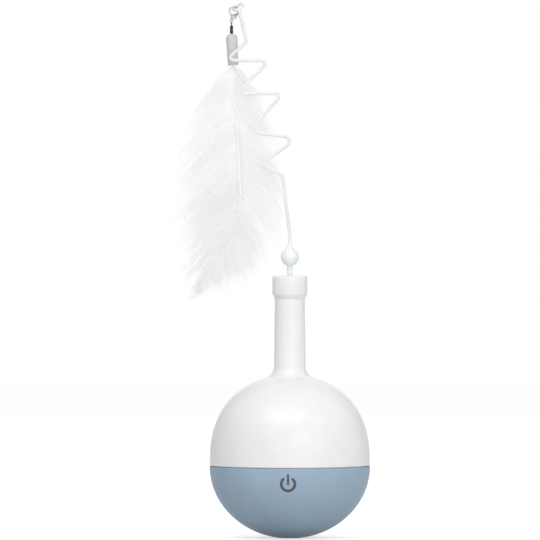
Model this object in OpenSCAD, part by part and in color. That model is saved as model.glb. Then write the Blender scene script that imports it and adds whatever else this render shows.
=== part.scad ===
// Self-righting electric cat toy: a bottle-shaped tumbler ball with a zigzag teaser stem and a feather lure.
// Origin: centre of the small flat foot. +Z up, -Y is the front with the power symbol. Millimetres.

/* [Ball] */
// Outer diameter of the ball at the seam
ball_d = 85; // [77:0.5:95]
// Height of the seam above the floor
seam_z = 38; // [36:0.5:44]
// Height of the dome above the seam if the neck were not there
dome_h = 48.5; // [44:0.5:54]
// Squareness of the dome's oval, 2 being an ellipse
dome_power = 2.58; // [2:0.02:3]
// Diameter of the flat that the ball stands on
foot_d = 12; // [8:1:20]
// Wall of both shells
wall = 2.2; // [1.8:0.1:2.8]
// Height of the shadow line between the shells
seam_gap = 0.4; // [0.2:0.1:0.8]

/* [Neck] */
// Neck diameter where it leaves the dome
neck_d = 16.7; // [15.5:0.1:20]
// Neck diameter under the collar
neck_top_d = 15.8; // [15:0.1:18]
// Height of the neck's top above the seam
neck_top_rise = 88.5; // [75:0.5:110]
// Wall of the neck
neck_wall = 1.8; // [1.2:0.1:2.2]
// Radius of the fillet between dome and neck
neck_fillet = 6.5; // [4:0.5:9]
// Collar diameter
collar_d = 18.5; // [17:0.1:22]
// Collar height
collar_h = 12.3; // [10:0.1:16]
// Height of the cone under the collar
collar_cone_h = 2.4; // [1.5:0.1:4]
// Rounding of the collar's top edge
collar_round = 1.1; // [0.5:0.1:1.5]

/* [Stem] */
// Diameter of the zigzag rod
rod_d = 1.75; // [1.4:0.05:2]
// Diameter of the drop-shaped bulb
bulb_d = 9.5; // [8:0.1:12]
// Radius of the hollow sweep from bulb to rod
bulb_sweep = 7.7; // [5:0.1:10]
// Diameter of the plug stub under the bulb
stub_d = 2.9; // [2.4:0.1:3.4]
// Bare length of stub between collar and bulb
stub_bare = 5.2; // [3:0.1:8]
// Depth of the stub in its sleeve
stub_depth = 11; // [8:0.5:12]
// Radius of the eyelet at the rod's end, to the middle of its rod
eyelet_r = 2.65; // [2.5:0.05:3]

/* [Lure] */
// Radius of the clasp's hook, to the middle of its wire
hook_r = 2.4; // [2.3:0.05:2.8]
// Thickness of the clasp's hook wire
hook_wire_d = 1.1; // [0.9:0.05:1.2]
// Diameter of the cap that holds the feathers
cap_d = 6.1; // [5.5:0.1:7]
// Length of the cap
cap_l = 16.8; // [14:0.2:20]
// Lean of cap and plume to the right
lure_lean = 3; // [0:0.5:5]
// Length of the plume below the cap
plume_l = 123; // [100:1:130]
// Greatest width of the plume
plume_w = 55; // [40:1:60]
// Greatest thickness of the plume
plume_t = 10; // [6:0.5:10.5]

/* [Drive] */
// Gear module
gear_module = 0.5; // [0.45:0.01:0.52]
// Teeth of the motor pinion
pinion_teeth = 10; // [10:1:12]
// Teeth of the idler's large wheel
idler_teeth = 50; // [48:1:50]
// Teeth of the idler's small wheel
idler_pinion_teeth = 14; // [14:1:16]
// Thickness of the chassis plate
chassis_t = 2.5; // [2:0.1:3]
// Outer radius of the swinging weight
weight_r = 20; // [16:0.5:21]
// Height of the swinging weight
weight_h = 6.5; // [5:0.1:7]
// Height of the ballast's top above the floor
ballast_top = 10; // [8:0.1:10.4]
// Diameter of the motor can
motor_d = 16; // [14:0.5:18]
// Length of the motor can
motor_l = 25; // [20:0.5:28]
// Diameter of the battery cell
battery_d = 14; // [12:0.2:15]
// Length of the battery cell
battery_l = 50; // [42:0.5:50]

/* [Electrics] */
// Outer radius of the power symbol's ring
symbol_r = 4.3; // [3.5:0.1:5]
// Stroke of the power symbol
symbol_stroke = 1.45; // [1:0.05:1.6]
// Height of the power symbol's middle above the floor
symbol_z = 29.9; // [26:0.1:31]
// Width of the charging socket
socket_w = 8.9; // [8:0.1:10]
// Height of the charging socket
socket_h = 3.2; // [3:0.1:4]
// Length of the charging socket
socket_l = 7.4; // [6.5:0.1:9]

/* [Hidden] */
$fn = 64;

// Fits and clearances, as radial or face gaps
running_gap = 0.05;
fixed_gap = 0.03;
soft_gap = 0.3;
part_gap = 0.5;
big = 200;

// Shell geometry
ball_r = ball_d / 2;
lower_b = seam_z / sqrt(1 - pow(foot_d / ball_d, 2));
shell_steps = 26;
reveal_depth = 0.9;
rim_chamfer = 0.3;
lip_h = 3;
lip_t = 1.3;
lip_gap = 0.35;
tab_count = 3;
tab_angle = 12;
tab_t = 0.8;
tab_h = 1.2;
tab_drop = 2.2;
tab_gap = 0.2;

// Radius of the lower shell's surface at height z, moved inwards by inset
function lower_r(z, inset = 0) =
    (ball_r - inset) * sqrt(max(0, 1 - pow((seam_z - z) / (lower_b - inset), 2)));
// Height of the lower shell's surface at radius r, moved inwards by inset
function lower_z(r, inset = 0) =
    seam_z - (lower_b - inset) * sqrt(max(0, 1 - pow(r / (ball_r - inset), 2)));
// Points of the lower oval from the seam down to the level floor_z
function lower_oval(inset, floor_z) =
    let (last = asin((seam_z - floor_z) / (lower_b - inset)))
    [for (i = [0 : shell_steps]) let (a = last * i / shell_steps)
        [(ball_r - inset) * cos(a), seam_z - (lower_b - inset) * sin(a)]];

// The dome is an oval of radius a, height b and power dome_power: its height, slope and normal at radius r
function dome_z(r, a, b) = b * pow(max(0, 1 - pow(r / a, 2)), 1 / dome_power);
function dome_slope(r, a, b) =
    -2 * b * r / (dome_power * a * a) * pow(1 - pow(r / a, 2), 1 / dome_power - 1);
function dome_normal(r, a, b) = let (s = dome_slope(r, a, b)) [-s, 1] / norm([-s, 1]);
// Radius at which a fillet of radius rho that also touches the neck of radius nr meets the dome
function fillet_r(a, b, nr, rho, lo, hi, n = 40) =
    let (mid = (lo + hi) / 2)
    n == 0 ? mid :
    mid + rho * dome_normal(mid, a, b)[0] > nr + rho
        ? fillet_r(a, b, nr, rho, lo, mid, n - 1)
        : fillet_r(a, b, nr, rho, mid, hi, n - 1);
// Dome, fillet and neck foot as one line of points, from height start_h above the seam to the straight neck
function dome_line(inset, nr, rho, start_h) =
    let (a = ball_r - inset, b = dome_h - inset,
         rt = fillet_r(a, b, nr, rho, nr, a * 0.999),
         n = dome_normal(rt, a, b),
         centre = [rt, dome_z(rt, a, b)] + rho * n,
         first = asin(pow(start_h / b, dome_power / 2)), last = acos(rt / a),
         arc_first = atan2(-n[1], -n[0]) + 360)
    concat(
        [for (i = [0 : shell_steps]) let (t = first + (last - first) * i / shell_steps)
            [a * cos(t), seam_z + b * pow(sin(t), 2 / dome_power)]],
        [for (i = [1 : 10]) let (t = arc_first + (180 - arc_first) * i / 10)
            [centre[0] + rho * cos(t), seam_z + centre[1] + rho * sin(t)]]);
function reversed(list) = [for (i = [len(list) - 1 : -1 : 0]) list[i]];

// Neck, collar and stem heights
neck_r = neck_d / 2;
neck_top_r = neck_top_d / 2;
neck_top_z = seam_z + neck_top_rise;
neck_bore_r = neck_top_r - neck_wall;
collar_r = collar_d / 2;
collar_top_z = neck_top_z + collar_h;
spigot_l = 10;
stub_r = stub_d / 2;
sleeve_wall = 1.55;
sleeve_r = stub_r + running_gap + sleeve_wall;
sleeve_flange_r = sleeve_r + 1.1;
sleeve_flange_t = 1.1;
sleeve_sunk = 0.1;
sleeve_floor = 6;
stub_foot_z = collar_top_z - stub_depth;
sleeve_foot_z = min(stub_foot_z - 2, neck_top_z - spigot_l - sleeve_floor / 2);
clip_t = 1;
clip_groove = 0.5;
clip_z = neck_top_z - spigot_l - 0.2 - clip_t;
rod_r = rod_d / 2;
bulb_r = bulb_d / 2;
bulb_z = collar_top_z + stub_bare + sqrt(bulb_r * bulb_r - stub_r * stub_r);
bulb_tip_z = bulb_z + sqrt(pow(bulb_r + bulb_sweep, 2) - pow(rod_r + bulb_sweep, 2));

// Corners of the zigzag rod: x, y, height above the bulb's tip, bend radius
zigzag = [
    [0, 0, 0, 0], [0, 0, 3, 15], [-3.9, 0, 34.3, 2], [-15.6, 0, 40.2, 2.3], [4, 0, 54, 2.6],
    [-21.5, 0, 57.5, 3.2], [-3.7, 0, 77.8, 2], [-28.8, 0, 77.5, 2.2], [-10.6, 0, 95.2, 1.8],
    [-34, 0, 95.2, 1.6], [-23, 0, 104.9, 2], [-27, 4, 122.5, 0]
];
rod_sides = 12;
bend_steps = 6;

// Eyelet: a ring whose axis is turned away from the vertical, joined to the rod at its front
eyelet_tilt = 35.8;
eyelet_heading = 219.8;
eyelet_wire_r = 0.85;
eyelet_axis = [sin(eyelet_tilt) * cos(eyelet_heading), sin(eyelet_tilt) * sin(eyelet_heading), cos(eyelet_tilt)];
eyelet_front = unit([0, -1, 0] + eyelet_axis * eyelet_axis[1]);
eyelet_left = cross(eyelet_axis, eyelet_front) * -1;
rod_end = [zigzag[len(zigzag) - 1][0], zigzag[len(zigzag) - 1][1], bulb_tip_z + zigzag[len(zigzag) - 1][2]];
eyelet_centre = rod_end - eyelet_r * eyelet_front;
hang_point = eyelet_centre + eyelet_r * eyelet_left;

// Clasp: hook ring in the XZ plane, hung on the eyelet; all heights below are from the ring's middle
hook_wire_r = hook_wire_d / 2;
hook_in = hook_r - hook_wire_r;
hook_rest_gap = 0.3;
hook_centre = hang_point - [0, 0, hook_in - eyelet_wire_r - hook_rest_gap];
hook_first = 6;
hook_last = 232;
clasp_t = 2;
clasp_eye_drop = hook_r + 3.6;
clasp_eye_x = -1.25;
clasp_eye_r = 0.9;
clasp_eye_hole_r = 0.5;
clasp_eye_t = 0.5;
lever_pivot_angle = -56;
lever_pivot = hook_r * [cos(lever_pivot_angle), sin(lever_pivot_angle)] * 1.04;
lever_t = 0.9;
lever_slot = lever_t + 0.2;
lever_first = -48;
lever_last = -6;
lever_wire_r = 0.45;
lever_knuckle_r = 0.7;
clasp_pin_r = 0.3;

// Swivel, cap and plume, hung below the clasp's eye
swivel_wire_r = 0.28;
swivel_loop_r = 0.7;
barrel_r = 0.95;
barrel_l = 4.1;
barrel_wall = 0.3;
loop_drop = clasp_eye_drop + 0.05 + swivel_loop_r;
barrel_top = loop_drop + swivel_loop_r + 0.4;
cap_top = barrel_top + barrel_l + 0.1;
cap_r = cap_d / 2;
cap_foot_r = cap_r - 0.2;
cap_shoulder_h = 2.9;
cap_mouth_r = 0.7;
cap_hole_r = 0.55;
cap_roof = 3;
cap_bore_r = cap_r - 0.8;
quill_count = 3;
quill_r = 0.8;
plume_rings = 18;
plume_sides = 16;
plume_widest = 0.55;
plume_back = 3.5;
plume_side = 10;
plume_hook = 13;
plume_hook_start = 0.62;
plume_root_r = 2;
plume_tip_r = 0.8;
plume_gap = 0.2;
lure_axis = hook_centre + [clasp_eye_x, 0, 0];

// Drive train, from the shell's floor upwards
output_teeth = idler_teeth + pinion_teeth - idler_pinion_teeth;
gear_gap = (idler_teeth + pinion_teeth) * gear_module / 2;
pressure = 25;
addendum = 0.8;
dedendum = 1.1;
tooth_play = 0.07;
flank_steps = 4;
boss_r = 3.2;
pilot_r = 1;
ballast_boss_ring = 15;
ballast_boss_top = 6.4;
ballast_r = 24;
weight_gap = 2.2;
weight_z = ballast_top + weight_gap;
arm_t = 1.5;
arm_z = weight_z + weight_h;
chassis_z = arm_z + arm_t + 2.1;
chassis_top = chassis_z + chassis_t;
chassis_clear = 3.8;
chassis_r = lower_r(chassis_z, wall) - chassis_clear;
chassis_boss_rim = 0.9;
chassis_boss_ring = chassis_r - boss_r - chassis_boss_rim;
chassis_boss_angles = [20, 160, 200, 340];
screw_bite = 6;
deck_bite = 5;
board_bite = 1.5;
bush_r = 2.6;
bush_flange_r = 4;
bush_flange_t = 0.7;
shaft_r = 1.5;
output_z = chassis_top + bush_flange_t + 0.1;
output_t = 3.5;
wheel_t = 3;
wheel_z = output_z + output_t + part_gap;
deck_z = wheel_z + wheel_t + 1;
deck_t = 2;
deck_top = deck_z + deck_t;
deck_r = 26;
pillar_r = 2.8;
idler_x = gear_gap;
// The two right pillars stand clear of the idler's wheel, at 45 degrees
wheel_tip_r = (idler_teeth / 2 + addendum) * gear_module;
pillar_free = wheel_tip_r + pillar_r + part_gap;
pillar_near = (idler_x + sqrt(2 * pillar_free * pillar_free - idler_x * idler_x)) / 2;
pillar_far = [16, 9.5];
pillar_spots = [[-pillar_far[0], pillar_far[1]], [-pillar_far[0], -pillar_far[1]],
    [pillar_near, pillar_near], [pillar_near, -pillar_near]];
deck_lug_r = pillar_r + 0.1;
idler_axle_r = 1;
hub_r = 4.2;
motor_shaft_r = 1;
motor_boss_r = 3;
motor_boss_h = 1.5;
motor_screw_y = (motor_boss_r + motor_d / 2) / 2;
motor_wall = 0.8;
motor_floor = 1.6;
magnet_t = 2.4;
motor_cap_h = 3;
motor_lug_x = 5;
motor_lug_w = 2.4;
motor_lug_h = 3.3;
armature_gap = 1.2;
battery_r = battery_d / 2;
battery_x = -(motor_d / 2 + 1.5 + battery_r);
battery_axis_z = deck_top + 1.6 + battery_r;
saddle_y = 15;
saddle_t = 4;
saddle_wall = 2;
clamp_ear = 4;
clamp_screw_x = battery_r + saddle_wall + clamp_ear / 2;
clamp_screw_l = 6;

// Board and charging socket at the back
board_w = 24;
board_t = 1.6;
board_stand = 1.5;
board_z = chassis_top + board_stand;
board_top = board_z + board_t;
socket_mouth_y = lower_r(board_top + socket_h / 2) - 0.6;
board_first_y = 14.6;
board_last_y = socket_mouth_y - socket_l + 1.5;
board_hole_x = 9;
board_hole_ys = [board_first_y + 2.6, board_last_y - 6.5];
board_head_r = 1.7;
connector_w = 4.4;
connector_l = 4;
connector_h = 3;
connector_x = board_hole_x - board_head_r - 0.2 - connector_w / 2;
connector_y = board_first_y + 6.2;
chip_w = 5;
chip_l = 6;
chip_y = board_first_y + 6;
switch_y = board_first_y + 2.8;
switch_r = 1.6;
switch_h = 4;
socket_wall = 0.35;
socket_gap = 0.25;
symbol_depth = 0.8;
symbol_bar_top = 1.25;
symbol_bar_w = 0.8;
symbol_open = 44;
foil_t = 0.4;
foil_r = min(6.5, seam_z - lip_h - symbol_z - 0.2);
lead_d = 1.2;
// Leads leave a connector half lead_pitch to each side of its middle, lead_rise above the board
lead_pitch = 2;
lead_rise = 1.5;
lead_gap = 0.1;
lead_turn = 2.5;
lead_y = connector_y + connector_l + lead_gap;
lead_drop = 8;

// Small vector and path functions
function unit(v) = v / norm(v);
function turned(v, axis, angle) =
    v * cos(angle) + cross(axis, v) * sin(angle) + axis * (axis * v) * (1 - cos(angle));
function carried(u, from, to) =
    let (axis = cross(from, to), s = norm(axis))
    s < 0.000001 ? u : turned(u, axis / s, atan2(s, from * to));
// Points of one rounded corner b between a and c
function bend(a, b, c, r) =
    let (u = unit(a - b), v = unit(c - b), normal = cross(v, u))
    norm(normal) < 0.001 ? [b] :
    let (half = acos(u * v) / 2, reach = r / tan(half), middle = b + unit(u + v) * r / sin(half),
         axis = unit(normal), first = b + u * reach - middle, sweep = 180 - 2 * half)
    [for (i = [0 : bend_steps]) middle + turned(first, axis, sweep * i / bend_steps)];
// A line of corners [x, y, z, bend radius] as a list of points
function rounded_path(corners) =
    let (n = len(corners), p = [for (c = corners) [c[0], c[1], c[2]]])
    [for (i = [0 : n - 1])
        each (i == 0 || i == n - 1 ? [p[i]] : bend(p[i - 1], p[i], p[i + 1], corners[i][3]))];

// A round tube of radius r along a list of points, as triangles
module tube(points, r, sides) {
    n = len(points);
    along = [for (i = [0 : n - 1]) unit(points[min(i + 1, n - 1)] - points[max(i - 1, 0)])];
    start = unit(cross(along[0], abs(along[0][1]) < 0.9 ? [0, 1, 0] : [1, 0, 0]));
    across = [for (i = 0, u = start; i < n; u = i + 1 < n ? carried(u, along[i], along[i + 1]) : u, i = i + 1) u];
    rings = [for (i = [0 : n - 1], j = [0 : sides - 1])
        points[i] + r * turned(across[i], along[i], 360 * j / sides)];
    side_faces = [for (i = [0 : n - 2], j = [0 : sides - 1])
        let (k = (j + 1) % sides, a = i * sides)
        each [[a + j, a + sides + j, a + sides + k], [a + j, a + sides + k, a + k]]];
    foot = [for (j = [1 : sides - 2]) [0, j, j + 1]];
    head = [for (j = [1 : sides - 2]) let (a = (n - 1) * sides) [a, a + j + 1, a + j]];
    polyhedron(rings, concat(foot, side_faces, head));
}

module ring(outer, inner, z, h) {
    translate([0, 0, z]) difference() {
        cylinder(r = outer, h = h);
        translate([0, 0, -1]) cylinder(r = inner, h = h + 2);
    }
}

// Screw with its head's underside at the origin and its shank down
module screw(shank_r, shank_l, head_r, head_h) {
    difference() {
        union() {
            translate([0, 0, -shank_l]) cylinder(r = shank_r, h = shank_l + 0.01);
            cylinder(r = head_r, h = head_h);
        }
        for (a = [0, 90]) rotate([0, 0, a])
            translate([-head_r * 0.6, -head_r * 0.12, head_h * 0.45])
                cube([head_r * 1.2, head_r * 0.24, head_h]);
    }
}

module around(count, r, z, first = 0) {
    for (i = [0 : count - 1]) rotate([0, 0, first + 360 * i / count]) translate([r, 0, z]) children();
}

module at_chassis_bosses(z) {
    for (a = chassis_boss_angles) rotate([0, 0, a]) translate([chassis_boss_ring, 0, z]) children();
}

// Involute spur gear outline with a tooth on +X, thinned by tooth_play on each flank
function involute_angle(r, base) = let (c = base / r) tan(acos(c)) * 180 / PI - acos(c);
function tooth(teeth) =
    let (m = gear_module, pitch = m * teeth / 2, base = pitch * cos(pressure),
         tip = pitch + addendum * m, root = pitch - dedendum * m,
         half = 90 / teeth - tooth_play / pitch * 180 / PI + involute_angle(pitch, base),
         low = max(base, root),
         flank = [for (i = [0 : flank_steps]) let (r = low + (tip - low) * i / flank_steps)
             [r, half - involute_angle(r, base)]])
    concat([[root, -flank[0][1]]], [for (f = flank) [f[0], -f[1]]],
           [for (f = reversed(flank)) f], [[root, flank[0][1]]]);
module gear(teeth, h) {
    outline = [for (i = [0 : teeth - 1], p = tooth(teeth)) let (a = p[1] + 360 * i / teeth)
        p[0] * [cos(a), sin(a)]];
    linear_extrude(h) polygon(outline);
}

// Slot shape, as the mouth of a charging socket
module slot_2d(w, h) {
    square([w - h, h], center = true);
    for (s = [-1, 1]) translate([s * (w - h) / 2, 0]) circle(d = h);
}

// Power symbol: an open ring with a bar in its gap, each stroke wider by 2 * grow, as long prisms to the front
module symbol_arc(grow) {
    middle_r = symbol_r - symbol_stroke / 2;
    half = symbol_stroke / 2 + grow;
    translate([0, 0, symbol_z]) rotate([90, 0, 0]) {
        rotate([0, 0, 90 + symbol_open]) rotate_extrude(angle = 360 - 2 * symbol_open)
            translate([middle_r - half, 0]) square([2 * half, ball_d]);
        for (s = [-1, 1]) translate(middle_r * [s * sin(symbol_open), cos(symbol_open)])
            cylinder(r = half * 0.97, h = ball_d);
    }
}
module symbol_bar(grow) {
    half = symbol_stroke * symbol_bar_w / 2 + grow;
    length = symbol_r * symbol_bar_top - symbol_stroke * symbol_bar_w / 2;
    translate([0, 0, symbol_z]) rotate([90, 0, 0]) linear_extrude(ball_d) {
        translate([-half, 0]) square([2 * half, length]);
        for (z = [0, length]) translate([0, z]) circle(r = half);
    }
}
// Skin of the lower shell between two insets
module lower_skin(outer, inner) {
    rotate_extrude() polygon(concat(lower_oval(outer, symbol_z / 3), reversed(lower_oval(inner, symbol_z / 3))));
}

// Shells

module lower_shell() {
    inside = lower_oval(wall, wall);
    color("#8FA5B8") difference() {
        union() {
            rotate_extrude() polygon(concat(
                [[ball_r - rim_chamfer, seam_z]],
                [for (i = [1 : shell_steps]) lower_oval(0, 0)[i]],
                [[0, 0], [0, wall]],
                reversed([for (i = [1 : shell_steps]) inside[i]]),
                [[ball_r - wall, seam_z]]));
            intersection() {
                union() {
                    at_chassis_bosses(0) cylinder(r = boss_r, h = chassis_z);
                    around(3, ballast_boss_ring, 0, 30) cylinder(r = boss_r, h = ballast_boss_top);
                }
                rotate_extrude() polygon(concat([[0, seam_z]], lower_oval(wall / 2, wall / 2), [[0, wall / 2]]));
            }
        }
        at_chassis_bosses(chassis_z - screw_bite - 2) cylinder(r = pilot_r + fixed_gap, h = big);
        around(3, ballast_boss_ring, ballast_boss_top - 3, 30) cylinder(r = pilot_r + fixed_gap, h = big);
        intersection() { symbol_arc(fixed_gap); lower_skin(-1, symbol_depth + fixed_gap); }
        intersection() { symbol_bar(fixed_gap); lower_skin(-1, symbol_depth + fixed_gap); }
        translate([0, board_last_y, board_top + socket_h / 2]) rotate([-90, 0, 0])
            linear_extrude(ball_r) slot_2d(socket_w + 2 * socket_gap, socket_h + 2 * socket_gap);
        snap_tabs(tab_gap);
    }
}

// Tabs on the upper shell's lip, or with gap their pockets in the lower shell
module snap_tabs(gap) {
    lip_r = ball_r - wall - lip_gap;
    for (i = [0 : tab_count - 1])
        rotate([0, 0, 360 * i / tab_count - tab_angle / 2 - gap])
            rotate_extrude(angle = tab_angle + 2 * gap)
                translate([lip_r - lip_t / 2, seam_z - tab_drop - gap])
                    square([lip_t / 2 + tab_t + gap, tab_h + 2 * gap]);
}

module upper_shell() {
    lip_r = ball_r - wall - lip_gap;
    outside = dome_line(0, neck_r, neck_fillet, seam_gap);
    inside = dome_line(wall, neck_r - neck_wall, neck_fillet + wall, lip_h);
    color("#F4F4F4") union() {
        rotate_extrude() polygon(concat(
            [[ball_r - reveal_depth, seam_z], [ball_r - reveal_depth, seam_z + seam_gap]],
            outside,
            [[neck_top_r, neck_top_z], [neck_bore_r, neck_top_z]],
            reversed(inside),
            [[lip_r - lip_t, seam_z + lip_h], [lip_r - lip_t, seam_z - lip_h],
             [lip_r, seam_z - lip_h], [lip_r, seam_z]]));
        snap_tabs(0);
    }
}

module neck_collar() {
    bore = sleeve_r + running_gap;
    well = sleeve_flange_r + running_gap;
    color("#F4F4F4") rotate_extrude() polygon(concat(
        [[neck_top_r, neck_top_z], [collar_r, neck_top_z + collar_cone_h]],
        [for (i = [0 : 6]) let (a = 15 * i)
            [collar_r - collar_round * (1 - cos(a)), collar_top_z - collar_round * (1 - sin(a))]],
        [[well, collar_top_z], [well, collar_top_z - sleeve_flange_t - sleeve_sunk - running_gap],
         [bore, collar_top_z - sleeve_flange_t - sleeve_sunk - running_gap],
         [bore, neck_top_z - spigot_l], [neck_bore_r - fixed_gap, neck_top_z - spigot_l],
         [neck_bore_r - fixed_gap, neck_top_z]]));
}

// Electrics

module power_symbol() {
    color("#4B4F54") {
        intersection() { symbol_arc(0); lower_skin(0, symbol_depth); }
        intersection() { symbol_bar(0); lower_skin(0, symbol_depth); }
    }
}

module touch_foil() {
    color("#B87333") intersection() {
        translate([0, 0, symbol_z]) rotate([90, 0, 0]) cylinder(r = foil_r, h = ball_d);
        lower_skin(wall + fixed_gap, wall + fixed_gap + foil_t);
    }
}

module usb_socket() {
    color("#C9CBCD") translate([0, socket_mouth_y, board_top + socket_h / 2]) rotate([90, 0, 0]) difference() {
        linear_extrude(socket_l) slot_2d(socket_w, socket_h);
        translate([0, 0, -1]) linear_extrude(socket_l)
            slot_2d(socket_w - 2 * socket_wall, socket_h - 2 * socket_wall);
    }
}

module usb_tongue() {
    tongue_w = socket_w - socket_h;
    tongue_t = 0.7;
    color("#26282A")
        translate([-tongue_w / 2, socket_mouth_y - socket_l + 1, board_top + (socket_h - tongue_t) / 2])
            cube([tongue_w, socket_l - 2, tongue_t]);
}

module circuit_board() {
    color("#2E6B4F") difference() {
        translate([-board_w / 2, board_first_y, board_z]) cube([board_w, board_last_y - board_first_y, board_t]);
        for (x = [-1, 1], y = board_hole_ys) translate([x * board_hole_x, y, board_z - 1]) cylinder(r = 1.1, h = board_t + 2);
    }
}

// Controller, tilt switch and two lead connectors, standing on the board
module board_components() {
    color("#2B2B2E") translate([-chip_w / 2, chip_y, board_top]) cube([chip_w, chip_l, 1.5]);
    color("#C9CBCD") translate([0, switch_y, board_top]) cylinder(r = switch_r, h = switch_h);
    for (s = [-1, 1]) color("#EFEDE6") translate([s * connector_x - connector_w / 2, connector_y, board_top])
        cube([connector_w, connector_l, connector_h]);
}

module board_screws() {
    color("#9A9DA0") for (x = [-1, 1], y = board_hole_ys)
        translate([x * board_hole_x, y, board_top]) screw(0.8, board_t + board_stand + board_bite, board_head_r, 1);
}

// Ballast and swinging weight

module ballast_weight() {
    inset = wall + soft_gap;
    color("#6E7175") difference() {
        intersection() {
            cylinder(r = ballast_r, h = ballast_top);
            rotate_extrude() polygon(concat([[0, seam_z]], lower_oval(inset, inset), [[0, inset]]));
        }
        at_chassis_bosses(0) cylinder(r = boss_r + soft_gap, h = big);
        around(3, ballast_boss_ring, -1, 30) cylinder(r = boss_r + 0.2, h = ballast_boss_top + 1);
        around(3, ballast_boss_ring, 0, 30) cylinder(r = 1.6, h = big);
        around(3, ballast_boss_ring, ballast_top - 2, 30) cylinder(r = 2.9, h = big);
    }
}

module ballast_screws() {
    color("#9A9DA0") around(3, ballast_boss_ring, ballast_top - 2, 30)
        screw(pilot_r, ballast_top - 2 - ballast_boss_top + 2.5, 2.6, 1.6);
}

module swing_arm() {
    color("#E9E4D8") difference() {
        union() {
            translate([0, 0, weight_z]) cylinder(r = hub_r, h = weight_h + arm_t);
            translate([0, 0, arm_z]) rotate_extrude(angle = 180) square([weight_r, arm_t]);
        }
        translate([0, 0, weight_z - 1]) cylinder(r = shaft_r + fixed_gap, h = big);
        for (a = [45, 135]) rotate([0, 0, a]) translate([weight_r * 0.65, 0, arm_z - 1]) cylinder(r = 1.3, h = arm_t + 2);
    }
}

module swing_weight() {
    color("#74777B") difference() {
        translate([0, 0, weight_z]) rotate_extrude(angle = 180)
            translate([hub_r + fixed_gap, 0]) square([weight_r - hub_r - fixed_gap, weight_h]);
        for (a = [45, 135]) rotate([0, 0, a]) translate([weight_r * 0.65, 0, arm_z - 4.5])
            cylinder(r = pilot_r + fixed_gap, h = big);
    }
}

module weight_screws() {
    color("#9A9DA0") for (a = [45, 135]) rotate([0, 0, a])
        translate([weight_r * 0.65, 0, arm_z + arm_t]) screw(pilot_r, arm_t + 4, 2.1, 1.1);
}

module hub_screw() {
    color("#9A9DA0") translate([0, 0, weight_z]) mirror([0, 0, 1]) screw(0.7, 4, 2.4, 1.1);
}

// Chassis and gears

module chassis() {
    color("#E9E4D8") difference() {
        union() {
            translate([0, 0, chassis_z]) cylinder(r = chassis_r, h = chassis_t);
            for (p = pillar_spots) translate([p[0], p[1], chassis_z]) cylinder(r = pillar_r, h = deck_z - chassis_z);
            for (x = [-1, 1], y = board_hole_ys)
                translate([x * board_hole_x, y, chassis_z]) cylinder(r = 2.2, h = board_z - chassis_z);
            translate([idler_x, 0, chassis_z]) cylinder(r = idler_axle_r + 1.2, h = output_z - 0.5 - chassis_z);
        }
        translate([0, 0, chassis_z - 1]) cylinder(r = bush_r + fixed_gap, h = chassis_t + 2);
        translate([idler_x, 0, chassis_z + 0.6]) cylinder(r = idler_axle_r + fixed_gap, h = big);
        at_chassis_bosses(chassis_z - 1) cylinder(r = 1.3, h = chassis_t + 2);
        for (p = pillar_spots) translate([p[0], p[1], deck_z - deck_bite - 1]) cylinder(r = pilot_r + fixed_gap, h = big);
        for (x = [-1, 1], y = board_hole_ys)
            translate([x * board_hole_x, y, chassis_z - 1]) cylinder(r = 0.8 + fixed_gap, h = big);
    }
}

module chassis_screws() {
    color("#9A9DA0") at_chassis_bosses(chassis_top) screw(pilot_r, chassis_t + screw_bite, 2.3, 1.6);
}

module output_bush() {
    color("#B08D57") difference() {
        union() {
            translate([0, 0, chassis_z]) cylinder(r = bush_r, h = chassis_t + bush_flange_t);
            translate([0, 0, chassis_top]) cylinder(r = bush_flange_r, h = bush_flange_t);
        }
        translate([0, 0, chassis_z - 1]) cylinder(r = shaft_r + running_gap, h = big);
    }
}

module output_shaft() {
    color("#B9BCBF") difference() {
        translate([0, 0, weight_z]) cylinder(r = shaft_r, h = output_z + output_t - weight_z);
        translate([0, 0, weight_z - 1]) cylinder(r = 0.7 + fixed_gap, h = 6);
    }
}

module output_gear() {
    color("#F2EFE6") translate([0, 0, output_z]) difference() {
        gear(output_teeth, output_t);
        translate([0, 0, -1]) cylinder(r = shaft_r + fixed_gap, h = output_t + 2);
    }
}

module idler_axle() {
    color("#B9BCBF") translate([idler_x, 0, chassis_z + 0.6 + fixed_gap])
        cylinder(r = idler_axle_r, h = deck_top - 0.5 - chassis_z - 0.6 - fixed_gap);
}

module idler_gear() {
    mesh_turn = idler_pinion_teeth % 2 == 0 ? 180 / idler_pinion_teeth : 0;
    wheel_turn = idler_teeth % 2 == 0 ? 180 / idler_teeth : 0;
    color("#F2EFE6") translate([idler_x, 0, 0]) difference() {
        union() {
            translate([0, 0, output_z - 0.4]) rotate([0, 0, mesh_turn])
                gear(idler_pinion_teeth, wheel_z - output_z + 0.4);
            translate([0, 0, wheel_z]) rotate([0, 0, wheel_turn]) gear(idler_teeth, wheel_t);
        }
        translate([0, 0, output_z - 1]) cylinder(r = idler_axle_r + running_gap, h = big);
    }
}

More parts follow.
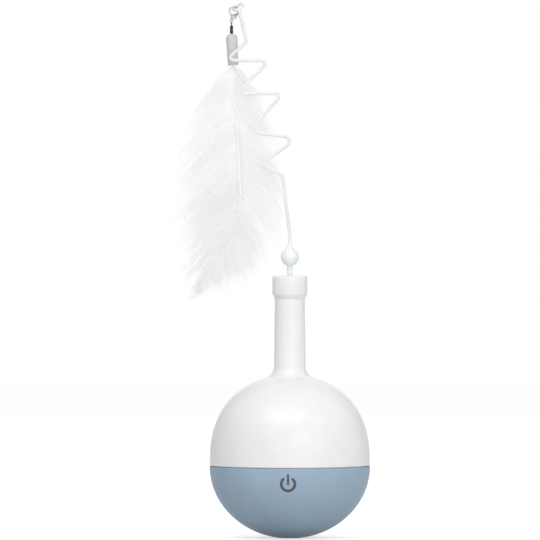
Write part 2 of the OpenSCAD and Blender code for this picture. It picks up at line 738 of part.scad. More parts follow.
module gear_deck() {
    block_w = 2 * (battery_r + saddle_wall + clamp_ear);
    block_x = battery_x - block_w / 2;
    base_l = 2 * saddle_y + saddle_t;
    color("#E9E4D8") difference() {
        union() {
            translate([0, 0, deck_z]) cylinder(r = deck_r, h = deck_t);
            translate([block_x, -base_l / 2, deck_z]) cube([-block_x, base_l, deck_t]);
            for (s = [-1, 1]) translate([block_x, s * saddle_y - saddle_t / 2, deck_z])
                cube([block_w, saddle_t, battery_axis_z - deck_z]);
            for (s = [-1, 1]) translate([pillar_near, s * pillar_near, deck_z]) cylinder(r = deck_lug_r, h = deck_t);
        }
        translate([battery_x, -ball_r, battery_axis_z]) rotate([-90, 0, 0])
            cylinder(r = battery_r + fixed_gap, h = ball_d);
        translate([0, 0, deck_z - 1]) cylinder(r = motor_boss_r + fixed_gap, h = deck_t + 2);
        for (s = [-1, 1]) translate([0, s * motor_screw_y, deck_z - 1]) cylinder(r = 1.1, h = deck_t + 2);
        translate([idler_x, 0, deck_z - 1]) cylinder(r = idler_axle_r + fixed_gap, h = deck_t + 0.5);
        for (p = pillar_spots) translate([p[0], p[1], deck_z - 1]) cylinder(r = 1.3, h = deck_t + 2);
        for (s = [-1, 1], t = [-1, 1])
            translate([battery_x + t * clamp_screw_x, s * saddle_y, battery_axis_z - clamp_screw_l])
                cylinder(r = 0.8 + fixed_gap, h = big);
    }
}

module deck_screws() {
    color("#9A9DA0") for (p = pillar_spots) translate([p[0], p[1], deck_top]) screw(pilot_r, deck_t + deck_bite, 2.1, 1.1);
}

// Motor and battery

module motor_can() {
    r = motor_d / 2;
    color("#C2C5C8") translate([0, 0, deck_top]) difference() {
        union() {
            cylinder(r = r, h = motor_l);
            translate([0, 0, -motor_boss_h]) cylinder(r = motor_boss_r, h = motor_boss_h + 0.5);
        }
        translate([0, 0, motor_floor]) cylinder(r = r - motor_wall, h = motor_l);
        translate([0, 0, -motor_boss_h - 1]) cylinder(r = motor_shaft_r + running_gap, h = motor_l);
        for (s = [-1, 1]) translate([0, s * motor_screw_y, -1]) cylinder(r = 0.9 + fixed_gap, h = motor_floor + 2);
    }
}

module motor_magnets() {
    r = motor_d / 2 - motor_wall - fixed_gap;
    color("#4A4C50") for (a = [20, 200]) rotate([0, 0, a])
        translate([0, 0, deck_top + motor_floor + 2]) rotate_extrude(angle = 140)
            translate([r - magnet_t, 0]) square([magnet_t, motor_l - motor_floor - motor_cap_h - 4]);
}

// End bell with two solder lugs
module motor_end_cap() {
    r = motor_d / 2 - motor_wall - fixed_gap;
    top = deck_top + motor_l;
    color("#26282A") difference() {
        translate([0, 0, top - motor_cap_h]) cylinder(r = r, h = motor_cap_h + 0.8);
        translate([0, 0, top - motor_cap_h - 1]) cylinder(r = motor_shaft_r + running_gap, h = motor_cap_h + 1);
    }
    color("#B08D57") for (s = [-1, 1])
        translate([s * motor_lug_x - motor_lug_w / 2, -0.25, top + 0.5]) cube([motor_lug_w, 0.5, motor_lug_h]);
}

module motor_screws() {
    color("#9A9DA0") for (s = [-1, 1]) translate([0, s * motor_screw_y, deck_z])
        mirror([0, 0, 1]) screw(0.9, deck_t + motor_floor, 1.9, 0.9);
}

// Wound rotor with three poles
module motor_armature() {
    r = motor_d / 2 - motor_wall - magnet_t - 0.6;
    low = deck_top + motor_floor + armature_gap + 1;
    h = motor_l - motor_floor - motor_cap_h - 2 * armature_gap - 3;
    color("#B06A3A") translate([0, 0, low]) difference() {
        cylinder(r = r, h = h);
        around(3, r, -1) cylinder(r = 1.6, h = h + 2);
        translate([0, 0, -1]) cylinder(r = motor_shaft_r + fixed_gap, h = h + 2);
    }
}

module motor_shaft() {
    low = wheel_z - 0.2;
    color("#B9BCBF") translate([0, 0, low])
        cylinder(r = motor_shaft_r, h = deck_top + motor_l - 0.6 - low);
}

module motor_pinion() {
    color("#B08D57") translate([0, 0, wheel_z - 0.2]) difference() {
        gear(pinion_teeth, wheel_t + 0.4);
        translate([0, 0, -1]) cylinder(r = motor_shaft_r + fixed_gap, h = wheel_t + 3);
    }
}

module battery_cell() {
    color("#3F6FA8") translate([battery_x, -battery_l / 2, battery_axis_z]) rotate([-90, 0, 0]) {
        cylinder(r = battery_r, h = battery_l - 1);
        cylinder(r = 2.7, h = battery_l);
    }
}

// One strap over the cell at each saddle
module battery_clamp() {
    strap_r = battery_r + saddle_wall;
    color("#E9E4D8") for (s = [-1, 1]) translate([battery_x, s * saddle_y - saddle_t / 2, battery_axis_z])
        difference() {
            union() {
                intersection() {
                    rotate([-90, 0, 0]) cylinder(r = strap_r, h = saddle_t);
                    translate([-strap_r, 0, 0]) cube([2 * strap_r, saddle_t, strap_r]);
                }
                translate([-strap_r - clamp_ear, 0, 0]) cube([2 * (strap_r + clamp_ear), saddle_t, 2]);
            }
            translate([0, -1, 0]) rotate([-90, 0, 0]) cylinder(r = battery_r + fixed_gap, h = saddle_t + 2);
            for (t = [-1, 1]) translate([t * clamp_screw_x, saddle_t / 2, -1]) cylinder(r = 1, h = 4);
        }
}

module clamp_screws() {
    color("#9A9DA0") for (s = [-1, 1], t = [-1, 1])
        translate([battery_x + t * clamp_screw_x, s * saddle_y, battery_axis_z + 2]) screw(0.8, clamp_screw_l, 1.5, 1);
}

// Leads, each from its terminal to its connector on the board

module battery_leads() {
    x = -connector_x;
    z = board_top + lead_rise;
    end = battery_l / 2;
    over_z = battery_axis_z + battery_r + saddle_wall + lead_d / 2 + soft_gap;
    color("#B23A34") tube(rounded_path([
        [battery_x, end + lead_gap, battery_axis_z, 0], [battery_x, end + lead_turn, battery_axis_z, 1.5],
        [battery_x + lead_pitch, end + lead_turn, z + lead_drop, 3],
        [x - lead_pitch / 2, lead_y + lead_turn, z, 1.5], [x - lead_pitch / 2, lead_y, z, 0]]), lead_d / 2, 8);
    color("#2B2B2E") tube(rounded_path([
        [battery_x, -end - lead_gap, battery_axis_z, 0], [battery_x, -end - lead_turn, battery_axis_z, 1.5],
        [battery_x, -end - lead_turn, over_z, 2], [battery_x, end + lead_turn, over_z, 4],
        [battery_x / 2, end + 2 * lead_turn, battery_axis_z, 5],
        [x + lead_pitch / 2, lead_y + 2 * lead_turn, z, 2], [x + lead_pitch / 2, lead_y, z, 0]]), lead_d / 2, 8);
}

module motor_leads() {
    x = connector_x;
    z = board_top + lead_rise;
    top = deck_top + motor_l + motor_lug_h - 0.3;
    r = motor_d / 2;
    out_y = lead_y + lead_turn;
    side = lead_pitch / 2;
    color("#B23A34") tube(rounded_path([
        [motor_lug_x + side, 0.9, top, 0], [motor_lug_x + side, r + lead_turn, top, 3],
        [x + side, out_y, deck_top + lead_drop, 4], [x + side, out_y, z, 1.5], [x + side, lead_y, z, 0]]),
        lead_d / 2, 8);
    color("#2B2B2E") tube(rounded_path([
        [side - motor_lug_x, 0.9, top, 0], [side - motor_lug_x, r + lead_turn, top, 3],
        [x - side, out_y, deck_top + lead_drop, 4], [x - side, out_y, z, 1.5], [x - side, lead_y, z, 0]]),
        lead_d / 2, 8);
}

module touch_lead() {
    z = symbol_z;
    r = lower_r(z, wall + fixed_gap + foil_t);
    route_r = r - 2 * lead_turn;
    end_y = board_first_y + connector_l;
    color("#E9E4D8") tube(rounded_path(concat(
        [[0, lead_gap - r, z, 0], [0, lead_turn - r, z, 1.5]],
        [for (a = [250, 210, 165]) [route_r * cos(a), route_r * sin(a), z, 8]],
        [[-board_w / 2 - lead_turn, end_y, board_top + lead_d / 2 + lead_gap, 3],
         [-board_w / 2 + 0.5, end_y, board_top + lead_d / 2 + lead_gap, 0]])), lead_d / 2, 8);
}

// Stem

// Turning sleeve with a blind bore for the stem's stub
module stem_sleeve() {
    top = collar_top_z - sleeve_sunk;
    bore = stub_r + running_gap;
    color("#E4E5E6") rotate_extrude() polygon([
        [bore, top], [sleeve_flange_r, top], [sleeve_flange_r, top - sleeve_flange_t],
        [sleeve_r, top - sleeve_flange_t], [sleeve_r, clip_z + clip_t + running_gap],
        [sleeve_r - clip_groove, clip_z + clip_t + running_gap], [sleeve_r - clip_groove, clip_z - running_gap],
        [sleeve_r, clip_z - running_gap], [sleeve_r, sleeve_foot_z], [0, sleeve_foot_z],
        [0, stub_foot_z - running_gap], [bore, stub_foot_z - running_gap]]);
}

// Open retaining clip in the sleeve's groove, under the collar's spigot
module sleeve_clip() {
    inner = sleeve_r - clip_groove + running_gap;
    color("#9A9DA0") difference() {
        ring(sleeve_r + 1.6, inner, clip_z, clip_t);
        translate([0, -inner * 0.6, clip_z - 1]) cube([big, inner * 1.2, clip_t + 2]);
    }
}

module stem_bulb() {
    foot = asin(stub_r / bulb_r);
    head = asin((bulb_tip_z - bulb_z) / (bulb_r + bulb_sweep));
    color("#EFF2F1") rotate_extrude() polygon(concat(
        [[0, stub_foot_z], [stub_r, stub_foot_z]],
        [for (i = [0 : 20]) let (a = foot - 90 + (head + 90 - foot) * i / 20)
            [bulb_r * cos(a), bulb_z + bulb_r * sin(a)]],
        [for (i = [1 : 12]) let (a = 180 + head - head * i / 12)
            [rod_r + bulb_sweep + bulb_sweep * cos(a), bulb_tip_z + bulb_sweep * sin(a)]],
        [[0, bulb_tip_z]]));
}

module zigzag_stem() {
    color("#EAEEF2") union() {
        translate([0, 0, bulb_tip_z]) tube(rounded_path(zigzag), rod_r, rod_sides);
        translate(eyelet_centre) rotate([0, eyelet_tilt, eyelet_heading])
            rotate_extrude() translate([eyelet_r, 0]) circle(r = eyelet_wire_r);
    }
}

// Lobster clasp

// Part of the hook's ring, in the XZ plane, from one angle to another
module hook_arc(first, last, wire_r) {
    rotate([90, 0, 0]) rotate([0, 0, first]) rotate_extrude(angle = last - first)
        translate([hook_r, 0]) circle(r = wire_r, $fn = 32);
}
// A plate of the given thickness, drawn in XZ
module plate_xz(t) { translate([0, t / 2, 0]) rotate([90, 0, 0]) linear_extrude(t) children(); }

module clasp_body() {
    k = hook_r;
    color("#C9CBCD") translate(hook_centre) difference() {
        union() {
            hook_arc(hook_first, hook_last, hook_wire_r);
            plate_xz(clasp_t) difference() {
                polygon([[-k, -0.45 * k], [-0.75 * k, -1.3 * k], [clasp_eye_x - 0.9, 0.9 - clasp_eye_drop],
                    [clasp_eye_x + 0.9, 0.9 - clasp_eye_drop], [0.72 * k, -1.5 * k], [0.98 * k, -0.92 * k],
                    [0.68 * k, -0.6 * k], [0, -0.2 * k]]);
                circle(r = hook_in);
            }
            translate([clasp_eye_x, 0, -clasp_eye_drop]) plate_xz(clasp_eye_t) circle(r = clasp_eye_r);
            translate([clasp_eye_x - 0.7, -clasp_eye_t / 2, -clasp_eye_drop + 0.55]) cube([1.4, clasp_eye_t, 0.6]);
        }
        translate([0.45, -lever_slot / 2, -1.35 * k]) cube([3 * k, lever_slot, 1.4 * k]);
        translate([lever_pivot[0], 0, lever_pivot[1]]) plate_xz(2 * clasp_t) circle(r = clasp_pin_r + fixed_gap);
        translate([clasp_eye_x, 0, -clasp_eye_drop]) plate_xz(2 * clasp_t) circle(r = clasp_eye_hole_r);
    }
}

module clasp_pin() {
    color("#B9BCBF") translate(hook_centre + [lever_pivot[0], 0, lever_pivot[1]]) plate_xz(clasp_t)
        circle(r = clasp_pin_r);
}

// Spring lever that closes the hook, with its thumb tab
module clasp_lever() {
    color("#C9CBCD") translate(hook_centre) difference() {
        union() {
            hook_arc(lever_first, lever_last, lever_wire_r);
            translate([lever_pivot[0], 0, lever_pivot[1]]) plate_xz(lever_t) circle(r = lever_knuckle_r);
            rotate([0, 34, 0]) translate([hook_r, -lever_t / 2, -0.35]) cube([1.5, lever_t, 0.7]);
        }
        translate([lever_pivot[0], 0, lever_pivot[1]]) plate_xz(2 * clasp_t) circle(r = clasp_pin_r + running_gap);
    }
}

// Swivel

module swivel_eye() {
    color("#3A3A3C") translate(lure_axis) union() {
        translate([0, 0, -loop_drop]) rotate([0, 90, 0])
            rotate_extrude() translate([swivel_loop_r, 0]) circle(r = swivel_wire_r, $fn = 32);
        translate([0, 0, -barrel_top - barrel_wall - 0.4])
            cylinder(r = swivel_wire_r, h = barrel_top + barrel_wall + 0.4 - loop_drop - swivel_loop_r);
        translate([0, 0, -barrel_top - barrel_wall - 0.65]) cylinder(r = barrel_r - barrel_wall - 0.1, h = 0.6);
    }
}

// Barrel with a chamber for the eye's head, and a shank with an anchor disc in the cap
module swivel_barrel() {
    low = -barrel_top - barrel_l;
    shank_foot = -cap_top - cap_roof - 1;
    color("#2F2F31") translate(lure_axis) difference() {
        union() {
            rotate_extrude() polygon([
                [0, -barrel_top], [barrel_r - 0.25, -barrel_top], [barrel_r, -barrel_top - 0.3],
                [barrel_r, low + 0.5], [barrel_r - 0.35, low], [0, low]]);
            translate([0, 0, shank_foot]) cylinder(r = swivel_wire_r, h = low - shank_foot + 0.2);
            translate([0, 0, shank_foot]) cylinder(r = 1.2, h = 0.8);
        }
        translate([0, 0, -barrel_top - barrel_wall - 1.2]) cylinder(r = barrel_r - barrel_wall, h = 1.2);
        translate([0, 0, -barrel_top - barrel_wall - 0.5]) cylinder(r = swivel_wire_r + 0.08, h = 1);
    }
}

// Feather lure; its parts lean together about the top of the cap

module leaning() {
    translate(lure_axis + [0, 0, -cap_top]) rotate([0, -lure_lean, 0]) children();
}

module feather_cap() {
    color("#C4C6C8") leaning() rotate_extrude() polygon(concat(
        [[cap_hole_r, 0]],
        [for (i = [0 : 6]) let (a = 90 - 15 * i)
            [cap_mouth_r + (cap_r - cap_mouth_r) * cos(a), cap_shoulder_h * (sin(a) - 1)]],
        [[cap_foot_r, -cap_l], [cap_bore_r, -cap_l], [cap_bore_r, -cap_roof], [cap_hole_r, -cap_roof]]));
}

module feather_quills() {
    low = -cap_l - plume_gap / 2;
    color("#F3F1EA") leaning() around(quill_count, 1.1, low, 30)
        cylinder(r = quill_r, h = cap_l - cap_roof - 1.6);
}

// Half width of the plume at the fraction t of its length, as a share of the greatest
function plume_share(t) =
    let (u = (t - plume_widest) / (t < plume_widest ? plume_widest : 1 - plume_widest))
    sqrt(max(0, 1 - u * u));
function plume_offset(t) =
    -plume_side * t - plume_hook * pow(max(0, t - plume_hook_start) / (1 - plume_hook_start), 2);

// Outer body of the soft feather plume
module feather_plume() {
    points = [for (i = [0 : plume_rings], j = [0 : plume_sides - 1])
        let (t = (1 - cos(180 * i / plume_rings)) / 2, a = 360 * j / plume_sides,
             least = i == 0 ? plume_root_r : plume_tip_r,
             w = max(least, plume_w / 2 * plume_share(t)), d = max(least, plume_t / 2 * plume_share(t)))
        [plume_offset(t) + w * cos(a), plume_back * t + d * sin(a), -cap_l - plume_gap - plume_l * t]];
    n = plume_sides;
    sides = [for (i = [0 : plume_rings - 1], j = [0 : n - 1])
        let (k = (j + 1) % n, a = i * n)
        each [[a + j, a + k, a + n + k], [a + j, a + n + k, a + n + j]]];
    top = [for (j = [1 : n - 2]) [0, j + 1, j]];
    foot = [for (j = [1 : n - 2]) let (a = plume_rings * n) [a, a + j, a + j + 1]];
    color("#FAFAF8") leaning() polyhedron(points, concat(top, sides, foot));
}

lower_shell();
upper_shell();
neck_collar();
power_symbol();
touch_foil();
usb_socket();
usb_tongue();
circuit_board();
board_components();
board_screws();
ballast_weight();
ballast_screws();
chassis();
chassis_screws();
output_bush();
output_shaft();
output_gear();
swing_arm();
swing_weight();
weight_screws();
hub_screw();
idler_axle();
idler_gear();
gear_deck();
deck_screws();
motor_can();
motor_magnets();
motor_end_cap();
motor_screws();
motor_armature();
motor_shaft();
motor_pinion();
battery_cell();
battery_clamp();
clamp_screws();
battery_leads();
motor_leads();
touch_lead();
stem_sleeve();
sleeve_clip();
stem_bulb();
zigzag_stem();
clasp_body();
clasp_pin();
clasp_lever();
swivel_eye();
swivel_barrel();
feather_cap();
feather_quills();
feather_plume();
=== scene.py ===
import bpy
import math
import numpy as np
from mathutils import Matrix, Vector


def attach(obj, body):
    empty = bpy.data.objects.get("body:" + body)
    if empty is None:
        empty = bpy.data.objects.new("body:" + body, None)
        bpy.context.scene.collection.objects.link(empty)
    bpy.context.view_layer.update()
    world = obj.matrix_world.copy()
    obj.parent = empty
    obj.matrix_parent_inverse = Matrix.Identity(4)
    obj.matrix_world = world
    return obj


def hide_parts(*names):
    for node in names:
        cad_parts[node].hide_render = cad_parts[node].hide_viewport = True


# Tumbler ball with a zigzag teaser stem and a feather lure. Its pieces' dictionaries are in millimetres and
# degrees, those of the studio in metres.
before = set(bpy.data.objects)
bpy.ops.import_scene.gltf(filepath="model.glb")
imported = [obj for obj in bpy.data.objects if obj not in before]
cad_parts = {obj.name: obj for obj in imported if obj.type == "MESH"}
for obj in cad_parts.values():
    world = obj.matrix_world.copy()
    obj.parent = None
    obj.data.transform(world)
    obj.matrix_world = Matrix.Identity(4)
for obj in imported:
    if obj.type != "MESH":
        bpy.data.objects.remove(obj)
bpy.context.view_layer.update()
mm = 0.001
mergeGap = 0.002  # in mm: points nearer than this are one


def linear(hexColour):  # sRGB hex to the linear colour that the shaders want
    steps = [int(hexColour[i:i + 2], 16) / 255 for i in (1, 3, 5)]
    return tuple(c / 12.92 if c <= 0.04045 else ((c + 0.055) / 1.055) ** 2.4 for c in steps) + (1.0,)


def addNode(tree, kind, values={}, links={}, stops=(), to=None, **settings):  # a node and all it needs
    node = tree.nodes.new(kind)
    for key, value in settings.items():
        setattr(node, key, value)
    for key, value in values.items():
        node.inputs[key].default_value = value
    for key, socket in links.items():
        tree.links.new(socket, node.inputs[key])
    for i, (where, hexColour) in enumerate(stops):  # the two ends of a colour ramp
        node.color_ramp.elements[i].position = where
        node.color_ramp.elements[i].color = linear(hexColour)
    if to is not None:  # the socket that its first output goes to
        tree.links.new(node.outputs[0], to)
    return node


def emptyTree(holder):  # the cleared nodes of a material or a world
    holder.use_nodes = True
    holder.node_tree.nodes.clear()
    return holder.node_tree


def newMaterial(name, constants):  # with its tree, its shader and the object's own coordinates
    material = bpy.data.materials.new(name)
    tree = emptyTree(material)
    shader = addNode(tree, "ShaderNodeBsdfPrincipled", constants)
    addNode(tree, "ShaderNodeOutputMaterial", links={"Surface": shader.outputs["BSDF"]})
    place = addNode(tree, "ShaderNodeTexCoord").outputs["Object"]
    return material, tree, shader, place


def usePattern(tree, shader, pattern, tones=(), rough=(), relief=()):  # what one pattern does to a surface
    fac = pattern.outputs["Fac"]
    if tones:
        addNode(tree, "ShaderNodeValToRGB", links={"Fac": fac}, stops=tones, to=shader.inputs["Base Color"])
    if rough:  # lowest and highest roughness
        addNode(tree, "ShaderNodeMapRange", {"To Min": rough[0], "To Max": rough[1]}, {"Value": fac},
                to=shader.inputs["Roughness"])
    if relief:  # strength, and depth in mm
        addNode(tree, "ShaderNodeBump", {"Strength": relief[0], "Distance": relief[1] * mm}, {"Height": fac},
                to=shader.inputs["Normal"])


def glowWithin(tree, shader, place, tone, low, high):  # low and high: height, share of the shader's strength
    height = addNode(tree, "ShaderNodeSeparateXYZ", links={"Vector": place}).outputs["Z"]
    ends = {"From Min": low[0] * mm, "To Min": low[1], "From Max": high[0] * mm, "To Max": high[1]}
    share = addNode(tree, "ShaderNodeMapRange", ends, {"Value": height}).outputs["Result"]
    addNode(tree, "ShaderNodeVectorMath", links={"Vector": tone, "Scale": share}, operation="SCALE",
            to=shader.inputs["Emission Color"])


# Modelling helpers

def polar(radius, degrees):
    return radius * math.cos(math.radians(degrees)), radius * math.sin(math.radians(degrees))


def arc(middle, radius, first, last, steps):  # points of an arc, from one angle to another
    turns = [polar(radius, first + (last - first) * i / steps) for i in range(steps + 1)]
    return [(middle[0] + x, middle[1] + y) for x, y in turns]


def setMode(mode):
    bpy.ops.object.mode_set(mode=mode)


def letGo():  # leave edit mode and select nothing, because operators act on all that is selected
    if bpy.context.object and bpy.context.object.mode != "OBJECT":
        setMode("OBJECT")
    bpy.ops.object.select_all(action="DESELECT")


def take(*pieces):  # select these alone, the first one active
    letGo()
    for piece in pieces:
        piece.select_set(True)
    bpy.context.view_layer.objects.active = pieces[0]


def applyModifier(piece, kind, **settings):
    take(piece)
    modifier = piece.modifiers.new(kind.lower(), kind)
    for key, value in settings.items():
        setattr(modifier, key, value)
    bpy.ops.object.modifier_apply(modifier=modifier.name)


def boolean(piece, tool, operation):
    applyModifier(piece, "BOOLEAN", operation=operation, object=tool, solver="EXACT")
    bpy.data.objects.remove(tool)


def joinAs(name, *pieces):
    take(*pieces)
    bpy.ops.object.join()
    pieces[0].name = name
    return pieces[0]


def turnOut(merge=0):  # merge doubles, turn all faces outwards and leave edit mode
    setMode("EDIT")
    bpy.ops.mesh.select_all(action="SELECT")
    if merge:
        bpy.ops.mesh.remove_doubles(threshold=merge * mm)
    bpy.ops.mesh.normals_make_consistent(inside=False)
    setMode("OBJECT")


def pick(piece, test):  # select the vertices that pass, in edit mode
    setMode("EDIT")
    bpy.ops.mesh.select_all(action="DESELECT")
    setMode("OBJECT")
    for vertex in piece.data.vertices:
        vertex.select = test(vertex.co)
    setMode("EDIT")


def drawLine(name, points):  # a plane merged to a vertex and extruded along the points, all left selected
    letGo()
    bpy.ops.mesh.primitive_plane_add(size=mm, location=[v * mm for v in points[0]])
    piece = bpy.context.object
    piece.name = name
    bpy.ops.object.transform_apply()
    setMode("EDIT")
    bpy.ops.mesh.select_all(action="SELECT")
    bpy.ops.mesh.merge(type="CENTER")
    for last, point in zip(points, points[1:]):
        step = (Vector(point) - Vector(last)) * mm
        bpy.ops.mesh.extrude_vertices_move(TRANSFORM_OT_translate={"value": step})
    bpy.ops.mesh.select_all(action="SELECT")
    return piece


def lathe(name, outline, turns=64, axisAt=(0, 0)):  # spins (radius, height) points about an upright axis
    x, y = axisAt
    piece = drawLine(name, [(x + r, y, z) for r, z in outline])
    bpy.ops.mesh.spin(steps=turns, angle=2 * math.pi, center=(x * mm, y * mm, 0), axis=(0, 0, 1))
    bpy.ops.mesh.select_all(action="SELECT")
    bpy.ops.mesh.remove_doubles(threshold=mergeGap * mm)
    bpy.ops.mesh.dissolve_degenerate(threshold=mergeGap / 2 * mm)
    turnOut()
    return piece


def roundedPath(corners, steps):  # corners are (x, y, z, bend radius), each bend in so many steps
    points = [Vector(c[:3]) for c in corners]
    path = [points[0]]
    for before, here, after, corner in zip(points, points[1:], points[2:], corners[1:]):
        u, v = (before - here).normalized(), (after - here).normalized()
        half = u.angle(v) / 2
        middle = here + (u + v).normalized() * corner[3] / math.sin(half)
        first = here + u * corner[3] / math.tan(half) - middle
        axis = v.cross(u).normalized()
        for i in range(steps + 1):
            path.append(middle + Matrix.Rotation((math.pi - 2 * half) * i / steps, 3, axis) @ first)
    return path + [points[-1]]


def wire(name, points, radius, fineness=4, radii=None):  # a curve through the points, made a round mesh
    letGo()
    bpy.ops.curve.primitive_nurbs_path_add(location=(0, 0, 0))
    piece = bpy.context.object
    piece.name = name
    curve = piece.data
    curve.splines.clear()
    spline = curve.splines.new("POLY")
    spline.points.add(len(points) - 1)
    for i, (point, target) in enumerate(zip(points, spline.points)):
        target.co = [v * mm for v in point] + [1]
        target.radius = radii[i] if radii else 1
    curve.bevel_depth = radius * mm
    curve.bevel_resolution = fineness
    curve.use_fill_caps = True
    bpy.ops.object.convert(target="MESH")
    turnOut(mergeGap / 2)
    return bpy.context.object


def torus(axisTurn, middle, radius, thick, segments):
    letGo()
    bpy.ops.mesh.primitive_torus_add(major_segments=segments[0], minor_segments=segments[1],
                                     major_radius=radius * mm, minor_radius=thick * mm, rotation=axisTurn,
                                     location=[v * mm for v in middle])
    bpy.ops.object.transform_apply()
    return bpy.context.object


def bar(name, middle, thick, length, turns):  # a round bar from front to back
    letGo()
    bpy.ops.mesh.primitive_cylinder_add(vertices=turns, radius=thick * mm, depth=length * mm,
                                        location=Vector(middle) * mm, rotation=(math.pi / 2, 0, 0))
    bpy.context.object.name = name
    bpy.ops.object.transform_apply()
    return bpy.context.object


def fuse(piece, voxel, smoothing):  # one skin over joined shapes, with the soft inner corners of a casting
    applyModifier(piece, "REMESH", mode="VOXEL", voxel_size=voxel * mm)
    applyModifier(piece, "SMOOTH", factor=0.5, iterations=smoothing)


def finishPiece(piece, body, slotName, material, *nodes, sharpAbove=38):
    take(piece)
    bpy.ops.object.shade_smooth_by_angle(angle=math.radians(sharpAbove))
    piece.data.materials.clear()
    piece.data.materials.append(material)
    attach(piece, body)
    if nodes:
        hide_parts(*nodes)


# Materials of what shows

# Injection-moulded ABS, polished tool: a clear gloss that rolls off softly, with a faint moulded ripple
whiteAbs, tree, shader, place = newMaterial("moulded_abs_white", {"IOR": 1.52})
ripple = addNode(tree, "ShaderNodeTexNoise", {"Scale": 1 / (9 * mm), "Detail": 2}, {"Vector": place})
speck = addNode(tree, "ShaderNodeTexNoise", {"Scale": 1 / (1.2 * mm), "Detail": 3}, {"Vector": place})
usePattern(tree, shader, ripple, tones=((0.3, "#EDEDED"), (0.7, "#F1F1F1")), relief=(0.08, 0.05))
usePattern(tree, shader, speck, rough=(0.2, 0.3))

# Injection-moulded ABS from a spark-eroded tool: an even satin, whose grit breaks up most of the shine and is
# drawn coarser than its real 0.05 mm
blueAbs, tree, shader, place = newMaterial("moulded_abs_slate_blue", {"IOR": 1.52, "Specular IOR Level": 0.1})
grit = addNode(tree, "ShaderNodeTexNoise", {"Scale": 1 / (0.5 * mm), "Detail": 2}, {"Vector": place})
cloud = addNode(tree, "ShaderNodeTexNoise", {"Scale": 1 / (14 * mm), "Detail": 3}, {"Vector": place})
usePattern(tree, shader, cloud, tones=((0.3, "#9DB2C4"), (0.7, "#A3B8CA")))
usePattern(tree, shader, grit, rough=(0.4, 0.52), relief=(0.15, 0.03))

# Pad-printed ink: a flat dark film with tiny pinholes of tone
printInk, tree, shader, place = newMaterial("pad_printed_ink_grey", {"Roughness": 0.55})
pinhole = addNode(tree, "ShaderNodeTexNoise", {"Scale": 1 / (0.3 * mm), "Detail": 2}, {"Vector": place})
usePattern(tree, shader, pinhole, tones=((0.35, "#474B50"), (0.65, "#51555A")))

# Nylon: milky and cool white, with faint clouds from the melt; light goes further into the drawn rod
nylons = {  # two tones, how deep red, green and blue go in, and the scale of that in mm
    "moulded_nylon_milky": ("#E9EEEE", "#EFF3F3", (1.2, 1.3, 1.4), 2.0),
    "drawn_nylon_milky": ("#E8F0F3", "#EEF4F6", (1.2, 1.05, 1.0), 4.0),
}
weld = {"place": (0, 0, 157.549 * mm), "reach": 5 * mm}  # where bulb and rod meet, denser than the rest
nylonMade = {}
for name, (low, high, inward, depth) in nylons.items():
    constants = {"IOR": 1.53, "Subsurface Radius": inward, "Subsurface Scale": depth * mm}
    nylonMade[name], tree, shader, place = newMaterial(name, constants)
    flow = addNode(tree, "ShaderNodeTexNoise", {"Scale": 1 / (3 * mm), "Detail": 3}, {"Vector": place})
    usePattern(tree, shader, flow, tones=((0.3, low), (0.7, high)), rough=(0.42, 0.55))
    away = addNode(tree, "ShaderNodeVectorMath", {1: weld["place"]}, {0: place}, operation="DISTANCE")
    addNode(tree, "ShaderNodeMapRange", {"From Max": weld["reach"]}, {"Value": away.outputs["Value"]},
            interpolation_type="SMOOTHSTEP", to=shader.inputs["Subsurface Weight"])

# Nickel plate over a zinc casting: bright, with small soft dents from tumbling and painted reflections in its
# colour; painted shade darkens the hook's throat
nickelPlate, tree, shader, place = newMaterial("nickel_plated_zinc", {"Metallic": 1.0})
# painted shade: the colour is darkest within dull of this point, in width and height, and clears by bright
throat = {"place": (-29.35 * mm, 0, 278.38 * mm), "dull": 1.5 * mm, "bright": 1.8 * mm}  # in the clasp's hook
dentsAndReflections = addNode(tree, "ShaderNodeTexNoise", {"Scale": 1 / (0.8 * mm), "Detail": 2}, {"Vector": place})
usePattern(tree, shader, dentsAndReflections, rough=(0.06, 0.16), relief=(0.2, 0.05))
# painted reflections: the dent pattern also makes the plate's colour lighter and darker in patches, as if it
# mirrored bright and dark surroundings
bright = addNode(tree, "ShaderNodeValToRGB", links={"Fac": dentsAndReflections.outputs["Fac"]},
                 stops=((0.36, "#ABAAA8"), (0.64, "#E9E8E5")))
flat = addNode(tree, "ShaderNodeVectorMath", {1: (1, 0, 1)}, {0: place}, operation="MULTIPLY")
away = addNode(tree, "ShaderNodeVectorMath", {1: throat["place"]}, {0: flat.outputs["Vector"]},
               operation="DISTANCE")
throatShade = addNode(tree, "ShaderNodeMapRange", {"From Min": throat["dull"], "From Max": throat["bright"]},
                 {"Value": away.outputs["Value"]})
# the painted shade's dark colour, mixed in where throatShade is low
tone = addNode(tree, "ShaderNodeMix", {6: linear("#3A3937")},  # 6 and 7 are the two colours
               {0: throatShade.outputs["Result"], 7: bright.outputs["Color"]}, data_type="RGBA")
tree.links.new(tone.outputs[2], shader.inputs["Base Color"])

# Black nickel over brass wire: dark, half polished, browner where it is thin
blackNickel, tree, shader, place = newMaterial("black_nickel_brass", {"Metallic": 0.9})
thin = addNode(tree, "ShaderNodeTexNoise", {"Scale": 1 / (0.6 * mm), "Detail": 3}, {"Vector": place})
usePattern(tree, shader, thin, tones=((0.3, "#3A3A3C"), (0.7, "#4A4745")), rough=(0.3, 0.45))

# Dip-moulded PVC: soft grey with a waxy sheen and slow waves where it ran
greyPvc, tree, shader, place = newMaterial("dipped_pvc_grey", {"Roughness": 0.16, "IOR": 1.53})
run = addNode(tree, "ShaderNodeTexNoise", {"Scale": 1 / (4 * mm), "Detail": 2}, {"Vector": place})
usePattern(tree, shader, run, tones=((0.3, "#C6C6C6"), (0.7, "#CFCFCF")), relief=(0.25, 0.12))

